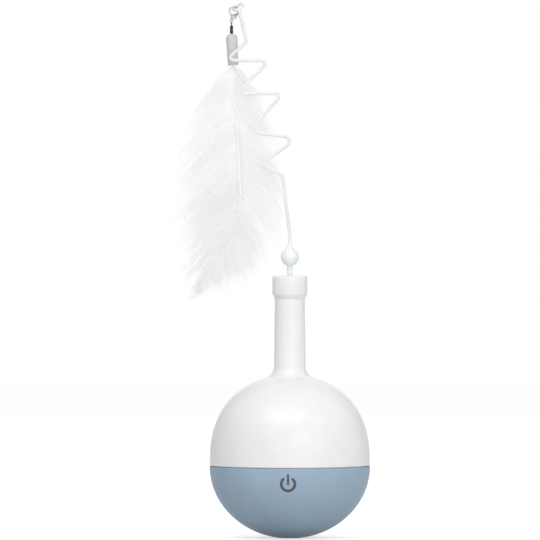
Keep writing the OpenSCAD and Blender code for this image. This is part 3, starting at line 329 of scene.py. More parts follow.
# Bleached feather barbs: matt white down that lets light through, each tuft with a tone of its own; the faint
# glow stands for the light that barbs pass on among themselves, less below, where they lie closer
constants = {"Roughness": 0.85, "Emission Strength": 0.248}
featherBarb, tree, shader, place = newMaterial("bleached_feather_barb", constants)
tuftTone = addNode(tree, "ShaderNodeAttribute", attribute_name="barbTone")
pale = addNode(tree, "ShaderNodeValToRGB", links={"Fac": tuftTone.outputs["Fac"]},
               stops=((0.0, "#F2F2F2"), (1.0, "#FDFDFD")), to=shader.inputs["Base Color"]).outputs["Color"]
glowWithin(tree, shader, place, pale, (135, 0.823), (225, 1.0))
through = addNode(tree, "ShaderNodeBsdfTranslucent", links={"Color": pale})
addNode(tree, "ShaderNodeMixShader", {0: 0.4},  # the share that goes through
        {1: shader.outputs["BSDF"], 2: through.outputs["BSDF"]},
        to=tree.nodes["Material Output"].inputs["Surface"])

# Feather quill: dense keratin, ivory, faintly glossy, with long pale fibres; a painted glow brightens it,
# least at the thick upper end
# painted light: the emission stands in for light the quill doesn't give off
constants = {"Roughness": 0.4, "Emission Strength": 0.14}
featherQuill, tree, shader, place = newMaterial("feather_quill_keratin", constants)
along = addNode(tree, "ShaderNodeMapping", {"Scale": (1, 1, 0.06)}, {"Vector": place}).outputs["Vector"]
fibre = addNode(tree, "ShaderNodeTexNoise", {"Scale": 1 / (0.4 * mm), "Detail": 2}, {"Vector": along})
pale = addNode(tree, "ShaderNodeValToRGB", links={"Fac": fibre.outputs["Fac"]},
               stops=((0.3, "#F7F7F5"), (0.7, "#FDFDFC")), to=shader.inputs["Base Color"]).outputs["Color"]
glowWithin(tree, shader, place, pale, (190, 1.0), (220, 0.143))
print("materials of the outside made")


# Blue base shell: an oval bowl with a small flat foot, a slot for charging and bosses for the works inside

base = {"radius": 42.5, "seam": 38.0, "foot": 6.0, "wall": 2.2, "rim": 0.3, "rimStep": 0.02, "steps": 36,
        "turns": 160, "slotWidth": 9.4, "slotHeight": 3.7, "slotLevel": 29.5, "slotAt": 41, "slotDeep": 16,
        "slotTurns": 48, "bossRadius": 3.2, "bossEdge": 0.3, "bossTurns": 32, "pilotRadius": 1.03,
        "pilotDeep": 8, "pilotTip": 0.4,
        "chassisRing": 28.41, "chassisAngles": (20, 160, 200, 340), "chassisTop": 22.3,
        "ballastRing": 15, "ballastAngles": (30, 150, 270), "ballastTop": 6.4}
radius, seam, wall = base["radius"], base["seam"], base["wall"]
baseDepth = seam / math.sqrt(1 - (base["foot"] / radius) ** 2)


def bowlLine(inset, floor):  # from the seam down to the floor's level
    a, b = radius - inset, baseDepth - inset
    last = math.asin((seam - floor) / b)
    turns = [last * i / base["steps"] for i in range(base["steps"] + 1)]
    return [(a * math.cos(t), seam - b * math.sin(t)) for t in turns]


def bowlRadius(height):
    return radius * math.sqrt(1 - ((seam - height) / baseDepth) ** 2)


outline = [(radius - base["rim"], seam), (radius - base["rimStep"], seam - base["rim"])]
outline += bowlLine(0, 0)[1:] + [(0, 0), (0, wall)] + bowlLine(wall, wall)[:0:-1]
outline += [(radius - wall, seam), outline[0]]
baseShell = lathe("baseShell", outline, base["turns"])

bosses = []
bossRadius, pilotRadius = base["bossRadius"], base["pilotRadius"]
for ring, angles, top in ((base["chassisRing"], base["chassisAngles"], base["chassisTop"]),
                          (base["ballastRing"], base["ballastAngles"], base["ballastTop"])):
    out = (ring + bossRadius) / (radius - wall / 2)  # each boss starts halfway through the wall
    foot = seam - (baseDepth - wall / 2) * math.sqrt(1 - out ** 2)
    pilot = max(foot, top - base["pilotDeep"])
    outline = [(pilotRadius, top), (pilotRadius, pilot + base["pilotTip"]), (0, pilot), (0, foot),
               (bossRadius, foot), (bossRadius, top - base["bossEdge"]), (bossRadius - base["bossEdge"], top),
               (pilotRadius, top)]
    bosses += [lathe("boss", outline, base["bossTurns"], polar(ring, angle)) for angle in angles]
boolean(baseShell, joinAs("bosses", *bosses), "UNION")

slotCutter = bar("slotCutter", (0, base["slotAt"], base["slotLevel"]), base["slotHeight"] / 2,
                 base["slotDeep"], base["slotTurns"])
for side in (-1, 1):  # its two halves are pulled apart
    pick(slotCutter, lambda co: side * co.x > mergeGap * mm)
    bpy.ops.transform.translate(value=(side * (base["slotWidth"] - base["slotHeight"]) / 2 * mm, 0, 0))
setMode("OBJECT")
boolean(baseShell, slotCutter, "DIFFERENCE")
finishPiece(baseShell, "bottle", "blue_shell", blueAbs, "lower_shell")
print("base shell made")


# Power mark: an open ring with a bar in its gap, drawn ahead of the shell and laid on it as a film of ink

mark = {"centre": 29.9, "radius": 4.3, "stroke": 1.45, "open": 44, "barTop": 5.375, "barWidth": 1.16,
        "film": 0.05, "drawnAt": -60, "ringSteps": 60, "endSteps": 10, "barSteps": 12, "cuts": 2,
        "near": 0.01}
ahead, centre = mark["drawnAt"], mark["centre"]


def markEnd(piece, middle, side, away):  # a half-round end, spun from a half stroke
    middle, side = Vector(middle) * mm, Vector(side) * mm
    pick(piece, lambda co: min((co - p).length for p in (middle, side)) < mark["near"] * mm)
    bpy.ops.mesh.spin(steps=mark["endSteps"], angle=away * math.pi, center=middle, axis=(0, 1, 0))


def markPoint(radius, angle):  # angle from straight up, to the right
    up, right = polar(radius, angle)
    return right, ahead, centre + up


half, gap = mark["stroke"] / 2, mark["open"]
middleRadius = mark["radius"] - half
ringMark = drawLine("ringMark", [markPoint(middleRadius + k * half, gap) for k in (-1, 0, 1)])
bpy.ops.mesh.spin(steps=mark["ringSteps"], angle=-math.radians(360 - 2 * gap), axis=(0, 1, 0),
                  center=(0, ahead * mm, centre * mm))
for angle, away in ((gap, 1), (-gap, -1)):
    markEnd(ringMark, markPoint(middleRadius, angle), markPoint(middleRadius + half, angle), away)
setMode("OBJECT")

half, top = mark["barWidth"] / 2, centre + mark["barTop"] - mark["barWidth"] / 2
barMark = drawLine("barMark", [(k * half, ahead, centre) for k in (-1, 0, 1)])
for step in range(mark["barSteps"]):
    rise = (top - centre) / mark["barSteps"] * mm
    bpy.ops.mesh.extrude_edges_move(TRANSFORM_OT_translate={"value": (0, 0, rise)})
for height, away in ((centre, -1), (top, 1)):
    markEnd(barMark, (0, ahead, height), (half, ahead, height), away)
setMode("OBJECT")

powerMark = joinAs("powerMark", ringMark, barMark)
setMode("EDIT")
bpy.ops.mesh.select_all(action="SELECT")
bpy.ops.mesh.remove_doubles(threshold=mergeGap * mm)
bpy.ops.mesh.subdivide(number_cuts=mark["cuts"])
setMode("OBJECT")
for vertex in powerMark.data.vertices:  # laid on the oval
    vertex.co.y = -math.sqrt(bowlRadius(vertex.co.z / mm) ** 2 - (vertex.co.x / mm) ** 2) * mm
turnOut()
if sum(p.normal.y for p in powerMark.data.polygons) > 0:  # an open film can come out facing inwards
    powerMark.data.flip_normals()
applyModifier(powerMark, "SOLIDIFY", thickness=3 * mark["film"] * mm, offset=-1 / 3)  # a third stands proud
finishPiece(powerMark, "bottle", "symbol_ink", printInk, "power_symbol")
print("power mark made")


# White dome with its neck: one shell, from the lip inside the base to the neck's mouth

dome = {"height": 48.5, "power": 2.58, "reveal": 1.7, "gap": 0.4, "rim": 0.25, "wall": 2.2, "neckWall": 1.8,
        "neckFoot": 8.35, "neckTop": 7.9, "neckHeight": 126.5, "fillet": 6.5, "lipGap": 0.35, "lip": 1.3,
        "lipHeight": 3, "steps": 44, "filletSteps": 14, "tries": 40, "turns": 160}


def domeLine(inset, neck, fillet, start):  # dome, fillet and foot of the neck as one line
    a, b, p = radius - inset, dome["height"] - inset, dome["power"]

    def normal(r):
        slope = 2 * b * r / (p * a * a) * (1 - (r / a) ** 2) ** (1 / p - 1)
        return Vector((slope, 1)).normalized()

    low, high = neck, a * 0.999  # stays short of the rim
    for _ in range(dome["tries"]):  # closes in on where a fillet at the neck meets the dome
        r = (low + high) / 2
        low, high = (low, r) if r + fillet * normal(r).x > neck + fillet else (r, high)
    n = normal(r)
    middle = Vector((r, b * (1 - (r / a) ** 2) ** (1 / p))) + fillet * n
    first, last = math.asin((start / b) ** (p / 2)), math.acos(r / a)
    line = []
    for i in range(dome["steps"] + 1):
        t = first + (last - first) * i / dome["steps"]
        line.append((a * math.cos(t), seam + b * math.sin(t) ** (2 / p)))
    arcStart = math.atan2(-n.y, -n.x) + 2 * math.pi
    for i in range(1, dome["filletSteps"] + 1):
        t = arcStart + (math.pi - arcStart) * i / dome["filletSteps"]
        line.append((middle.x + fillet * math.cos(t), seam + middle.y + fillet * math.sin(t)))
    return line


gap, neckTop, neckHeight, neckWall = dome["gap"], dome["neckTop"], dome["neckHeight"], dome["neckWall"]
lipRadius, lipHeight = radius - dome["wall"] - dome["lipGap"], dome["lipHeight"]
outside = domeLine(0, dome["neckFoot"], dome["fillet"], gap + dome["rim"])
inside = domeLine(dome["wall"], dome["neckFoot"] - neckWall, dome["fillet"] + dome["wall"], lipHeight)
outline = [(radius - dome["reveal"], seam), (radius - dome["reveal"], seam + gap),
           (radius - dome["rim"], seam + gap)] + outside
outline += [(neckTop, neckHeight), (neckTop - neckWall, neckHeight)] + inside[::-1]
outline += [(lipRadius - dome["lip"], seam + lipHeight), (lipRadius - dome["lip"], seam - lipHeight),
            (lipRadius, seam - lipHeight), (lipRadius, seam), outline[0]]
domeShell = lathe("domeShell", outline, dome["turns"])
finishPiece(domeShell, "bottle", "white_shell", whiteAbs, "upper_shell")
print("dome made")


# Collar on the neck's mouth, with the well that the turning sleeve sits in

collar = {"radius": 9.25, "low": 126.5, "cone": 2.4, "top": 138.8, "round": 1.1, "roundSteps": 10,
          "under": 0.35, "seat": (0.08, 0.06), "soften": (0.1, 0.05), "well": 4.2, "wellEdge": 0.15,
          "wellFloor": 137.55, "bore": 3.1, "spigot": 6.07, "spigotFoot": 116.5, "spigotEdge": 0.4,
          "turns": 128}
wide, low, top, under, well = [collar[key] for key in ("radius", "low", "top", "under", "well")]
cone, bend, spigot, foot = low + collar["cone"], collar["round"], collar["spigot"], collar["spigotFoot"]
outline = [(neckTop, low), (neckTop + collar["seat"][0], low + collar["seat"][1])]
outline += [(wide - under, cone - under), (wide - collar["soften"][0], cone + collar["soften"][1]),
            (wide, cone + under)]
outline += arc((wide - bend, top - bend), bend, 0, 90, collar["roundSteps"])
outline += [(well + collar["wellEdge"], top), (well, top - collar["wellEdge"]), (well, collar["wellFloor"]),
            (collar["bore"], collar["wellFloor"]), (collar["bore"], foot),
            (spigot - collar["spigotEdge"], foot), (spigot, foot + collar["spigotEdge"]), (spigot, low),
            outline[0]]
neckCollar = lathe("neckCollar", outline, collar["turns"])
finishPiece(neckCollar, "bottle", "white_shell", whiteAbs, "neck_collar")

sleeve = {"bore": 1.5, "boreEdge": 0.25, "radius": 3.05, "flange": 4.15, "flangeEdge": 0.2,
          "flangeThick": 1.1, "top": 138.7, "foot": 113.5, "footEdge": 0.3, "boreFoot": 127.75,
          "grooveLow": 115.25, "grooveHigh": 116.35, "groove": 0.5}
bore, wide, flange, top, foot = [sleeve[key] for key in ("bore", "radius", "flange", "top", "foot")]
under, groove = top - sleeve["flangeThick"], wide - sleeve["groove"]
outline = [(0, sleeve["boreFoot"]), (bore, sleeve["boreFoot"]), (bore, top - sleeve["boreEdge"]),
           (bore + sleeve["boreEdge"], top), (flange - sleeve["flangeEdge"], top),
           (flange, top - sleeve["flangeEdge"]), (flange, under), (wide, under), (wide, sleeve["grooveHigh"]),
           (groove, sleeve["grooveHigh"]), (groove, sleeve["grooveLow"]), (wide, sleeve["grooveLow"]),
           (wide, foot + sleeve["footEdge"]), (wide - sleeve["footEdge"], foot), (0, foot)]
stemSleeve = lathe("stemSleeve", outline)
finishPiece(stemSleeve, "sleeve", "sleeve_plastic", whiteAbs, "stem_sleeve")
print("collar and sleeve made")


# Stem: a drop-shaped bulb on a stub, and the zigzag rod with its eyelet

bulb = {"radius": 4.75, "height": 148.524, "ballSteps": 40, "stub": 1.45, "stubFoot": 127.8, "stubEdge": 0.3,
        "stubTop": 143.6, "sweep": 7.7, "sweepSteps": 16, "rod": 0.875, "tip": 157.549}
stub, stubFoot, sweep, tip = bulb["stub"], bulb["stubFoot"], bulb["sweep"], bulb["tip"]
foot = math.degrees(math.asin(stub / bulb["radius"]))  # angles on the ball where stub and sweep meet it
head = math.degrees(math.asin((tip - bulb["height"]) / (bulb["radius"] + sweep)))
outline = [(0, stubFoot), (stub - bulb["stubEdge"], stubFoot), (stub, stubFoot + bulb["stubEdge"]),
           (stub, bulb["stubTop"])]
outline += arc((0, bulb["height"]), bulb["radius"], foot - 90, head, bulb["ballSteps"])[1:]
outline += arc((bulb["rod"] + sweep, tip), sweep, 180 + head, 180, bulb["sweepSteps"])[1:]
outline += [(0, tip)]
stemBulb = lathe("stemBulb", outline)
finishPiece(stemBulb, "stem", "stem_plastic", nylonMade["moulded_nylon_milky"], "stem_bulb")

rod = {"corners": ((0, 0, 0, 0), (0, 0, 3, 15), (-3.9, 0, 34.3, 2), (-15.6, 0, 40.2, 2.3), (4, 0, 54, 2.6),
                   (-21.5, 0, 57.5, 3.2), (-3.7, 0, 77.8, 2), (-28.8, 0, 77.5, 2.2), (-10.6, 0, 95.2, 1.8),
                   (-34, 0, 95.2, 1.6), (-23, 0, 104.9, 2), (-27, 4, 122.5, 0)),  # from the tip, bend radius
       "bendSteps": 10, "split": 0.5, "lap": 0.1, "eyeletCentre": (-27.481, 6.457, 280.917),
       "eyeletAxis": (-0.4494, -0.3744, 0.8111), "eyelet": 2.65, "eyeletWire": 0.85, "segments": (64, 24),
       "fineness": 6, "voxel": 0.14, "smoothing": 8}
path = roundedPath([(x, y, tip + z, bend) for x, y, z, bend in rod["corners"]], rod["bendSteps"])
end = path[-1]
split = path[-2].lerp(end, rod["split"])  # rod and eyelet share the last straight
zigzagRod = wire("zigzagRod", path[:-1] + [split.lerp(end, rod["lap"])], bulb["rod"])
eyeletTail = wire("eyeletTail", [split, end], bulb["rod"], rod["fineness"])
axisTurn = Vector((0, 0, 1)).rotation_difference(Vector(rod["eyeletAxis"])).to_euler()
eyeletRing = torus(axisTurn, rod["eyeletCentre"], rod["eyelet"], rod["eyeletWire"], rod["segments"])
eyelet = joinAs("eyelet", eyeletRing, eyeletTail)
fuse(eyelet, rod["voxel"], rod["smoothing"])
boolean(zigzagRod, eyelet, "UNION")
finishPiece(zigzagRod, "stem", "stem_plastic", nylonMade["drawn_nylon_milky"], "zigzag_stem", sharpAbove=60)
print("stem made")


# Lobster clasp: a cast hook and body, a sprung lever on a pin

clasp = {"centre": (-29.799, 6.457, 278.933), "hook": 2.4, "wire": 0.55, "first": 6, "last": 232, "steps": 36,
         "fineness": 6, "thick": 2.0, "voxel": 0.085, "smoothing": 4,
         "throat": (-40, -155, 14),  # first, last, steps
         "leftCheek": ((-1, -0.45), (-0.75, -1.3)),  # in hook radii, as the right one is
         "rightCheek": ((0.72, -1.5), (0.98, -0.92)),
         "foot": 0.9, "neck": (0.7, 0.4, 1.3),  # half width, low and high above the eye
         "eyeX": -1.25, "eyeDrop": 6.0, "eye": 0.9, "eyeHole": 0.5, "eyeThick": 0.5, "slot": 1.1,
         "slotFrom": 0.45, "slotEnd": (3, -1.35, 0.05),  # its other sides in hook radii
         "through": 6, "pivot": (1.3957, -2.0693), "pin": 0.3, "pinTurns": 32, "pinPlay": 0.03,
         "pinEdge": (0.08, 2)}  # width, segments
lever = {"thick": 0.9, "wire": 0.45, "first": -48, "last": -6, "knuckle": 0.7, "play": 0.05, "tabAt": 34,
         "tab": (-0.2, 1.5, -0.35, 0.35), "tabEdge": (0.15, 3), "voxel": 0.06, "smoothing": 3}
hookAt, hook = Vector(clasp["centre"]), clasp["hook"]
eyeX, eyeZ = clasp["eyeX"], -clasp["eyeDrop"]


def hookArc(name, first, last, thick):  # part of the hook's ring, as a bent wire
    points = [hookAt + Vector((x, 0, z)) for x, z in arc((0, 0), hook, first, last, clasp["steps"])]
    return wire(name, points, thick, clasp["fineness"])


def corners(left, right, low, high):
    return [(left, low), (right, low), (right, high), (left, high)]


def roundEdges(piece, width, segments):
    applyModifier(piece, "BEVEL", width=width * mm, segments=segments, limit_method="ANGLE",
                  angle_limit=math.radians(50))


def plate(name, points, thick):  # an outline in x and height, filled and thickened
    piece = drawLine(name, [hookAt + Vector((x, -thick / 2, z)) for x, z in points + points[:1]])
    bpy.ops.mesh.remove_doubles(threshold=mergeGap * mm)
    bpy.ops.mesh.edge_face_add()
    bpy.ops.mesh.extrude_region_move(TRANSFORM_OT_translate={"value": (0, thick * mm, 0)})
    turnOut()
    return piece


def crossPin(name, x, z, thick, length):
    return bar(name, hookAt + Vector((x, 0, z)), thick, length, clasp["pinTurns"])


leftCheek, rightCheek = [[(x * hook, z * hook) for x, z in clasp[key]] for key in ("leftCheek", "rightCheek")]
footZ = clasp["foot"] - clasp["eyeDrop"]
cheek = leftCheek + [(eyeX - clasp["foot"], footZ), (eyeX + clasp["foot"], footZ)] + rightCheek
body = plate("body", cheek + arc((0, 0), hook - clasp["wire"], *clasp["throat"]), clasp["thick"])
eyeRing = crossPin("eyeRing", eyeX, eyeZ, clasp["eye"], clasp["eyeThick"])
half, low, high = clasp["neck"]
neckBlock = plate("neckBlock", corners(eyeX - half, eyeX + half, eyeZ + low, eyeZ + high), clasp["eyeThick"])
claspBody = joinAs("claspBody", hookArc("hook", clasp["first"], clasp["last"], clasp["wire"]), body, eyeRing,
                   neckBlock)
fuse(claspBody, clasp["voxel"], clasp["smoothing"])
pivotX, pivotZ = clasp["pivot"]
slotSides = [v * hook for v in clasp["slotEnd"]]
leverSlot = plate("leverSlot", corners(clasp["slotFrom"], *slotSides), clasp["slot"])
pinHole = crossPin("pinHole", pivotX, pivotZ, clasp["pin"] + clasp["pinPlay"], clasp["through"])
eyeHole = crossPin("eyeHole", eyeX, eyeZ, clasp["eyeHole"], clasp["through"])
for cutter in (leverSlot, pinHole, eyeHole):
    boolean(claspBody, cutter, "DIFFERENCE")
finishPiece(claspBody, "clasp", "nickel", nickelPlate, "clasp_body", sharpAbove=50)

claspPin = crossPin("claspPin", pivotX, pivotZ, clasp["pin"], clasp["thick"])
roundEdges(claspPin, *clasp["pinEdge"])
finishPiece(claspPin, "clasp", "nickel", nickelPlate, "clasp_pin")

knuckle = crossPin("knuckle", pivotX, pivotZ, lever["knuckle"], lever["thick"])
c, s = polar(1, lever["tabAt"])  # the thumb tab points away from the hook, that far below level
tab = [(hook * c + a * c + b * s, -hook * s - a * s + b * c) for a, b in corners(*lever["tab"])]
thumbTab = plate("thumbTab", tab, lever["thick"])
roundEdges(thumbTab, *lever["tabEdge"])
leverWire = hookArc("leverWire", lever["first"], lever["last"], lever["wire"])
claspLever = joinAs("claspLever", leverWire, knuckle, thumbTab)
fuse(claspLever, lever["voxel"], lever["smoothing"])
leverHole = crossPin("leverHole", pivotX, pivotZ, clasp["pin"] + lever["play"], clasp["through"])
boolean(claspLever, leverHole, "DIFFERENCE")
finishPiece(claspLever, "lever", "nickel", nickelPlate, "clasp_lever", sharpAbove=50)
print("clasp made")


# Swivel under the clasp: an eye that turns in a small barrel

swivel = {"axis": (-31.049, 6.457), "loopHeight": 272.183, "loop": 0.7, "wire": 0.28, "segments": (40, 16),
          "neckRise": 0.5, "head": 0.55, "headTop": 0.7, "headFoot": 0.95, "neckTurns": 24,
          "top": 271.083, "long": 4.1, "radius": 0.95, "wall": 0.3, "play": 0.08, "roof": 0.3, "well": 1.5,
          "upperBead": ((0.3, 0), (0.08, 0.1), (0, 0.35), (0, 0.8), (0.12, 0.95)),  # inset, drop from top
          "lowerBead": ((0.12, 1.1), (0, 0.95), (0, 0.5), (0.12, 0.2), (0.35, 0)),  # inset, rise from foot
          "shankFoot": 262.883, "anchor": 1.2, "anchorHigh": 0.8, "turns": 32}
swivelX, swivelY = swivel["axis"]
top, thin, wide, foot = swivel["top"], swivel["wire"], swivel["radius"], swivel["shankFoot"]
loop = torus((0, math.pi / 2, 0), (swivelX, swivelY, swivel["loopHeight"]), swivel["loop"], thin,
             swivel["segments"])
neckHigh, headTop, headFoot = top + swivel["neckRise"], top - swivel["headTop"], top - swivel["headFoot"]
outline = [(0, neckHigh), (thin, neckHigh), (thin, headTop), (swivel["head"], headTop),
           (swivel["head"], headFoot), (0, headFoot)]
swivelEye = joinAs("swivelEye", loop, lathe("neck", outline, swivel["neckTurns"], swivel["axis"]))
finishPiece(swivelEye, "clasp", "black_nickel", blackNickel, "swivel_eye")

low, hole, bore = top - swivel["long"], thin + swivel["play"], wide - swivel["wall"]
anchorTop, well, roof = foot + swivel["anchorHigh"], top - swivel["well"], top - swivel["roof"]
outline = [(hole, top)] + [(wide - inset, top - drop) for inset, drop in swivel["upperBead"]]
outline += [(wide - inset, low + rise) for inset, rise in swivel["lowerBead"]]
outline += [(thin, low), (thin, anchorTop), (swivel["anchor"], anchorTop), (swivel["anchor"], foot)]
outline += [(0, foot), (0, well), (bore, well), (bore, roof), (hole, roof), (hole, top)]
swivelBarrel = lathe("swivelBarrel", outline, swivel["turns"], swivel["axis"])
finishPiece(swivelBarrel, "lure", "black_nickel", blackNickel, "swivel_barrel")
print("swivel made")


# Grey cap that grips the quills, leaning a little about its top

cap = {"top": 266.883, "radius": 3.05, "long": 16.8, "shoulder": 2.9, "shoulderSteps": 15, "mouth": 0.7,
       "hole": 0.55, "dip": 0.1, "roof": 3.0, "wall": 0.8, "taper": 0.2, "edge": 0.15, "lean": 3.0,
       "lip": ((0, 1.3), (0.06, 1.1), (0.06, 0.35), (-0.05, 0.08), (-0.25, 0))}  # outset, rise from the foot
wide, mouth, hole, edge = cap["radius"], cap["mouth"], cap["hole"], cap["edge"]
low, footRadius, bore = -cap["long"], wide - cap["taper"], wide - cap["wall"]
outline = [(hole, -cap["dip"]), (hole + edge, 0)]
for angle in np.linspace(90, 0, cap["shoulderSteps"]):
    out, up = polar(1, angle)
    outline.append((mouth + (wide - mouth) * out, cap["shoulder"] * (up - 1)))
outline += [(footRadius + outset, low + rise) for outset, rise in cap["lip"]]
outline += [(bore + edge, low), (bore, low + edge), (bore, -cap["roof"]), (hole, -cap["roof"]),
            (hole, -cap["dip"])]
featherCap = lathe("featherCap", outline)
featherCap.location = (swivelX * mm, swivelY * mm, cap["top"] * mm)
featherCap.rotation_euler = (0, -math.radians(cap["lean"]), 0)
take(featherCap)
bpy.ops.object.transform_apply()
finishPiece(featherCap, "lure", "cap_grey", greyPvc, "feather_cap")
print("cap made")


# Feather plume: one long quill with tufts of fine barbs to both sides, and down below the cap

plume = {"root": (-29.4, 6.46, 249.9), "long": 123, "back": 3.5, "front": 1.9, "seed": 11,
         "quill": ((-0.7, 0), (0.6, 20), (1.7, 38), (2.7, 58), (3, 72), (1.2, 84), (-4, 97), (-12, 109),
                   (-17, 115)),  # sideways, drop below the cap
         "left": ((-4, 3), (-12, 12), (-20, 21), (-28, 38), (-31, 70), (-30.5, 90), (-29, 105), (-26, 114),
                  (-24, 123.5)),
         "leftFrom": (0.5, 4, 9, 19, 42, 59, 76, 91, 113),  # drop where that edge's barbs leave the quill
         "right": ((3.5, 3), (12, 12), (19, 28), (24.5, 50), (25.7, 72), (23, 92), (15, 106), (3, 116),
                   (-13, 121.5), (-23, 124)),
         "rightFrom": (0.5, 3, 11, 27, 46, 66, 81, 95, 107, 114),
         "down": ((3, 4), (6, 9), (8.5, 17), (9, 26)), "downFrom": (0, 0.2, 0.6, 1.5), "downTufts": 9,
         "tufts": 178, "crowding": 0.82, "spread": 4.2, "lowest": 115, "barbs": 17, "tipStray": 1.3,
         "lengths": (0.76, 1.14), "uneven": 0.28, "reach": (0.25, 1.1), "bows": (0.05, 0.16),
         "bowStray": 0.02, "tones": (3, 2), "toneStray": 0.08, "depthStray": 0.12}
barb = {"radius": 0.085, "tip": 0.012, "taper": 0.55, "rings": 9, "curl": 0.35, "phase": 6.3, "waves": (3, 8),
        "lift": 1.3, "sway": 0.3, "swayRate": 0.7, "twist": 2.1,
        "depth": 4.6, "bellyAt": 62, "bellyHalf": 66, "leastDepth": 0.04, "rootDepth": 0.06, "deepening": 1.4}
dice = np.random.default_rng(plume["seed"])
rootX, rootY, rootZ = plume["root"]


def smoothLine(values, places, count=200, window=31):  # a few points joined, then rounded by a sliding mean
    fine = np.linspace(places[0], places[-1], count)
    line = np.interp(fine, places, values)
    kernel = np.hanning(window) / np.hanning(window).sum()
    half = window // 2
    padded = np.concatenate([2 * line[0] - line[half:0:-1], line, 2 * line[-1] - line[-2:-half - 2:-1]])
    return fine, np.convolve(padded, kernel, "valid")


quillLine = smoothLine(*np.array(plume["quill"], float).T)


def quillAt(drop):  # the quill's sideways place at a drop below the cap
    return np.interp(drop, *quillLine)


def barbSet(edge, starts, tufts):  # start, bow and tip of each barb, its depth, and its tuft's tone
    edge = np.array(edge, float)
    along = np.concatenate([[0], np.cumsum(np.linalg.norm(np.diff(edge, axis=0), axis=1))])
    where = np.sort(dice.random(tufts) ** plume["crowding"]) * along[-1]  # sparser by the cap
    count = tufts * plume["barbs"]
    tuft = np.repeat(np.arange(tufts), plume["barbs"])
    tuftLength = dice.uniform(*plume["lengths"], tufts)[tuft]
    tuftDepth = dice.uniform(-1, 1, tufts)[tuft]
    tuftBow = dice.uniform(*plume["bows"], tufts)[tuft]
    tone = dice.beta(*plume["tones"], tufts)[tuft] + dice.normal(0, plume["toneStray"], count)
    at = np.clip(where[tuft] + dice.normal(0, plume["tipStray"], count), 0, along[-1])
    tip = np.stack([np.interp(at, along, edge[:, i]) for i in (0, 1)], 1)
    drop = np.interp(where[tuft], along, starts) + dice.normal(0, plume["spread"], count)
    drop = np.clip(drop, 0, plume["lowest"])
    start = np.stack([quillAt(drop), drop], 1)
    reach = tuftLength * (1 - np.abs(dice.normal(0, plume["uneven"], count)))
    tip = start + (tip - start) * np.clip(reach, *plume["reach"])[:, None]
    span = tip - start
    outwards = np.stack([span[:, 1], -span[:, 0]], 1) * np.sign(span[:, :1])  # upwards, square to the barb
    bend = start + 0.5 * span + outwards * (tuftBow + dice.normal(0, plume["bowStray"], count))[:, None]
    return start, bend, tip, tuftDepth + dice.normal(0, plume["depthStray"], count), np.clip(tone, 0, 1)


def barbMesh(name, start, bend, tip, depth, tone):  # three-sided strands, thinner to the tip
    count, rings = len(start), barb["rings"]
    t = np.linspace(0, 1, rings)[None, :]
    s = t[:, :, None]
    flat = (1 - s) ** 2 * start[:, None] + 2 * s * (1 - s) * bend[:, None] + s ** 2 * tip[:, None]
    wave = dice.uniform(0, barb["phase"], (count, 1)) + dice.uniform(*barb["waves"], (count, 1)) * t
    flat[:, :, 0] += barb["curl"] * t * np.sin(wave)
    flat[:, :, 1] += barb["curl"] * t * np.cos(barb["lift"] * wave)
    drop = flat[:, :, 1]
    belly = np.sqrt(np.clip(1 - ((drop - barb["bellyAt"]) / barb["bellyHalf"]) ** 2, barb["leastDepth"], 1))
    deep = barb["depth"] * belly * depth[:, None] * np.minimum(1, barb["rootDepth"] + barb["deepening"] * t)
    sway = barb["sway"] * t * np.sin(barb["swayRate"] * wave)
    y = rootY + plume["back"] * drop / plume["long"] + deep + sway
    middle = np.stack([rootX + flat[:, :, 0], np.maximum(y, plume["front"]), rootZ - drop], 2)
    forward = np.gradient(middle, axis=1)
    forward /= np.linalg.norm(forward, axis=2, keepdims=True)
    across = np.cross(forward, [0.0, 1.0, 0.0])
    across /= np.linalg.norm(across, axis=2, keepdims=True)
    over = np.cross(forward, across)
    thick = barb["radius"] * (1 - s) ** barb["taper"] + barb["tip"]
    spin = dice.uniform(0, barb["twist"], (count, 1, 1))
    turns = [spin + math.tau * i / 3 for i in range(3)]
    strand = np.stack([middle + thick * (np.cos(a) * across + np.sin(a) * over) for a in turns], 2)
    ring = (np.arange(count)[:, None] * rings + np.arange(rings - 1)[None]).reshape(-1) * 3
    edges = ((0, 1), (1, 2), (2, 0))
    faces = [np.stack([ring + a, ring + b, ring + 3 + b, ring + 3 + a], 1) for a, b in edges]
    last = (np.arange(count) * rings + rings - 1) * 3
    first = last - 3 * (rings - 1)
    ends = [np.stack([last, last + 1, last + 2], 1), np.stack([first + 2, first + 1, first], 1)]
    mesh = bpy.data.meshes.new(name)
    mesh.from_pydata((strand.reshape(-1, 3) * mm).tolist(), [],
                     np.concatenate(faces).tolist() + np.concatenate(ends).tolist())
    shade = mesh.attributes.new("barbTone", "FLOAT", "POINT")
    shade.data.foreach_set("value", np.repeat(tone, rings * 3).astype(np.float32))
    piece = bpy.data.objects.new(name, mesh)
    bpy.context.collection.objects.link(piece)
    take(piece)
    turnOut()
    return piece


sides = [barbSet(plume["left"], plume["leftFrom"], plume["tufts"]),
         barbSet(plume["right"], plume["rightFrom"], plume["tufts"])]
for side in (-1, 1):  # the loose down that hides where the barbs leave the cap
    down = [(side * x, drop) for x, drop in plume["down"]]
    sides.append(barbSet(down, plume["downFrom"], plume["downTufts"]))
barbs = [np.concatenate(parts) for parts in zip(*sides)]
near = barbs[3] < 0  # the depth tells the front half from the back
plumeFront = barbMesh("plumeFront", *[part[near] for part in barbs])
plumeBack = barbMesh("plumeBack", *[part[~near] for part in barbs])
finishPiece(plumeFront, "lure", "feather", featherBarb, "feather_plume", sharpAbove=180)
finishPiece(plumeBack, "lure", "feather", featherBarb, sharpAbove=180)

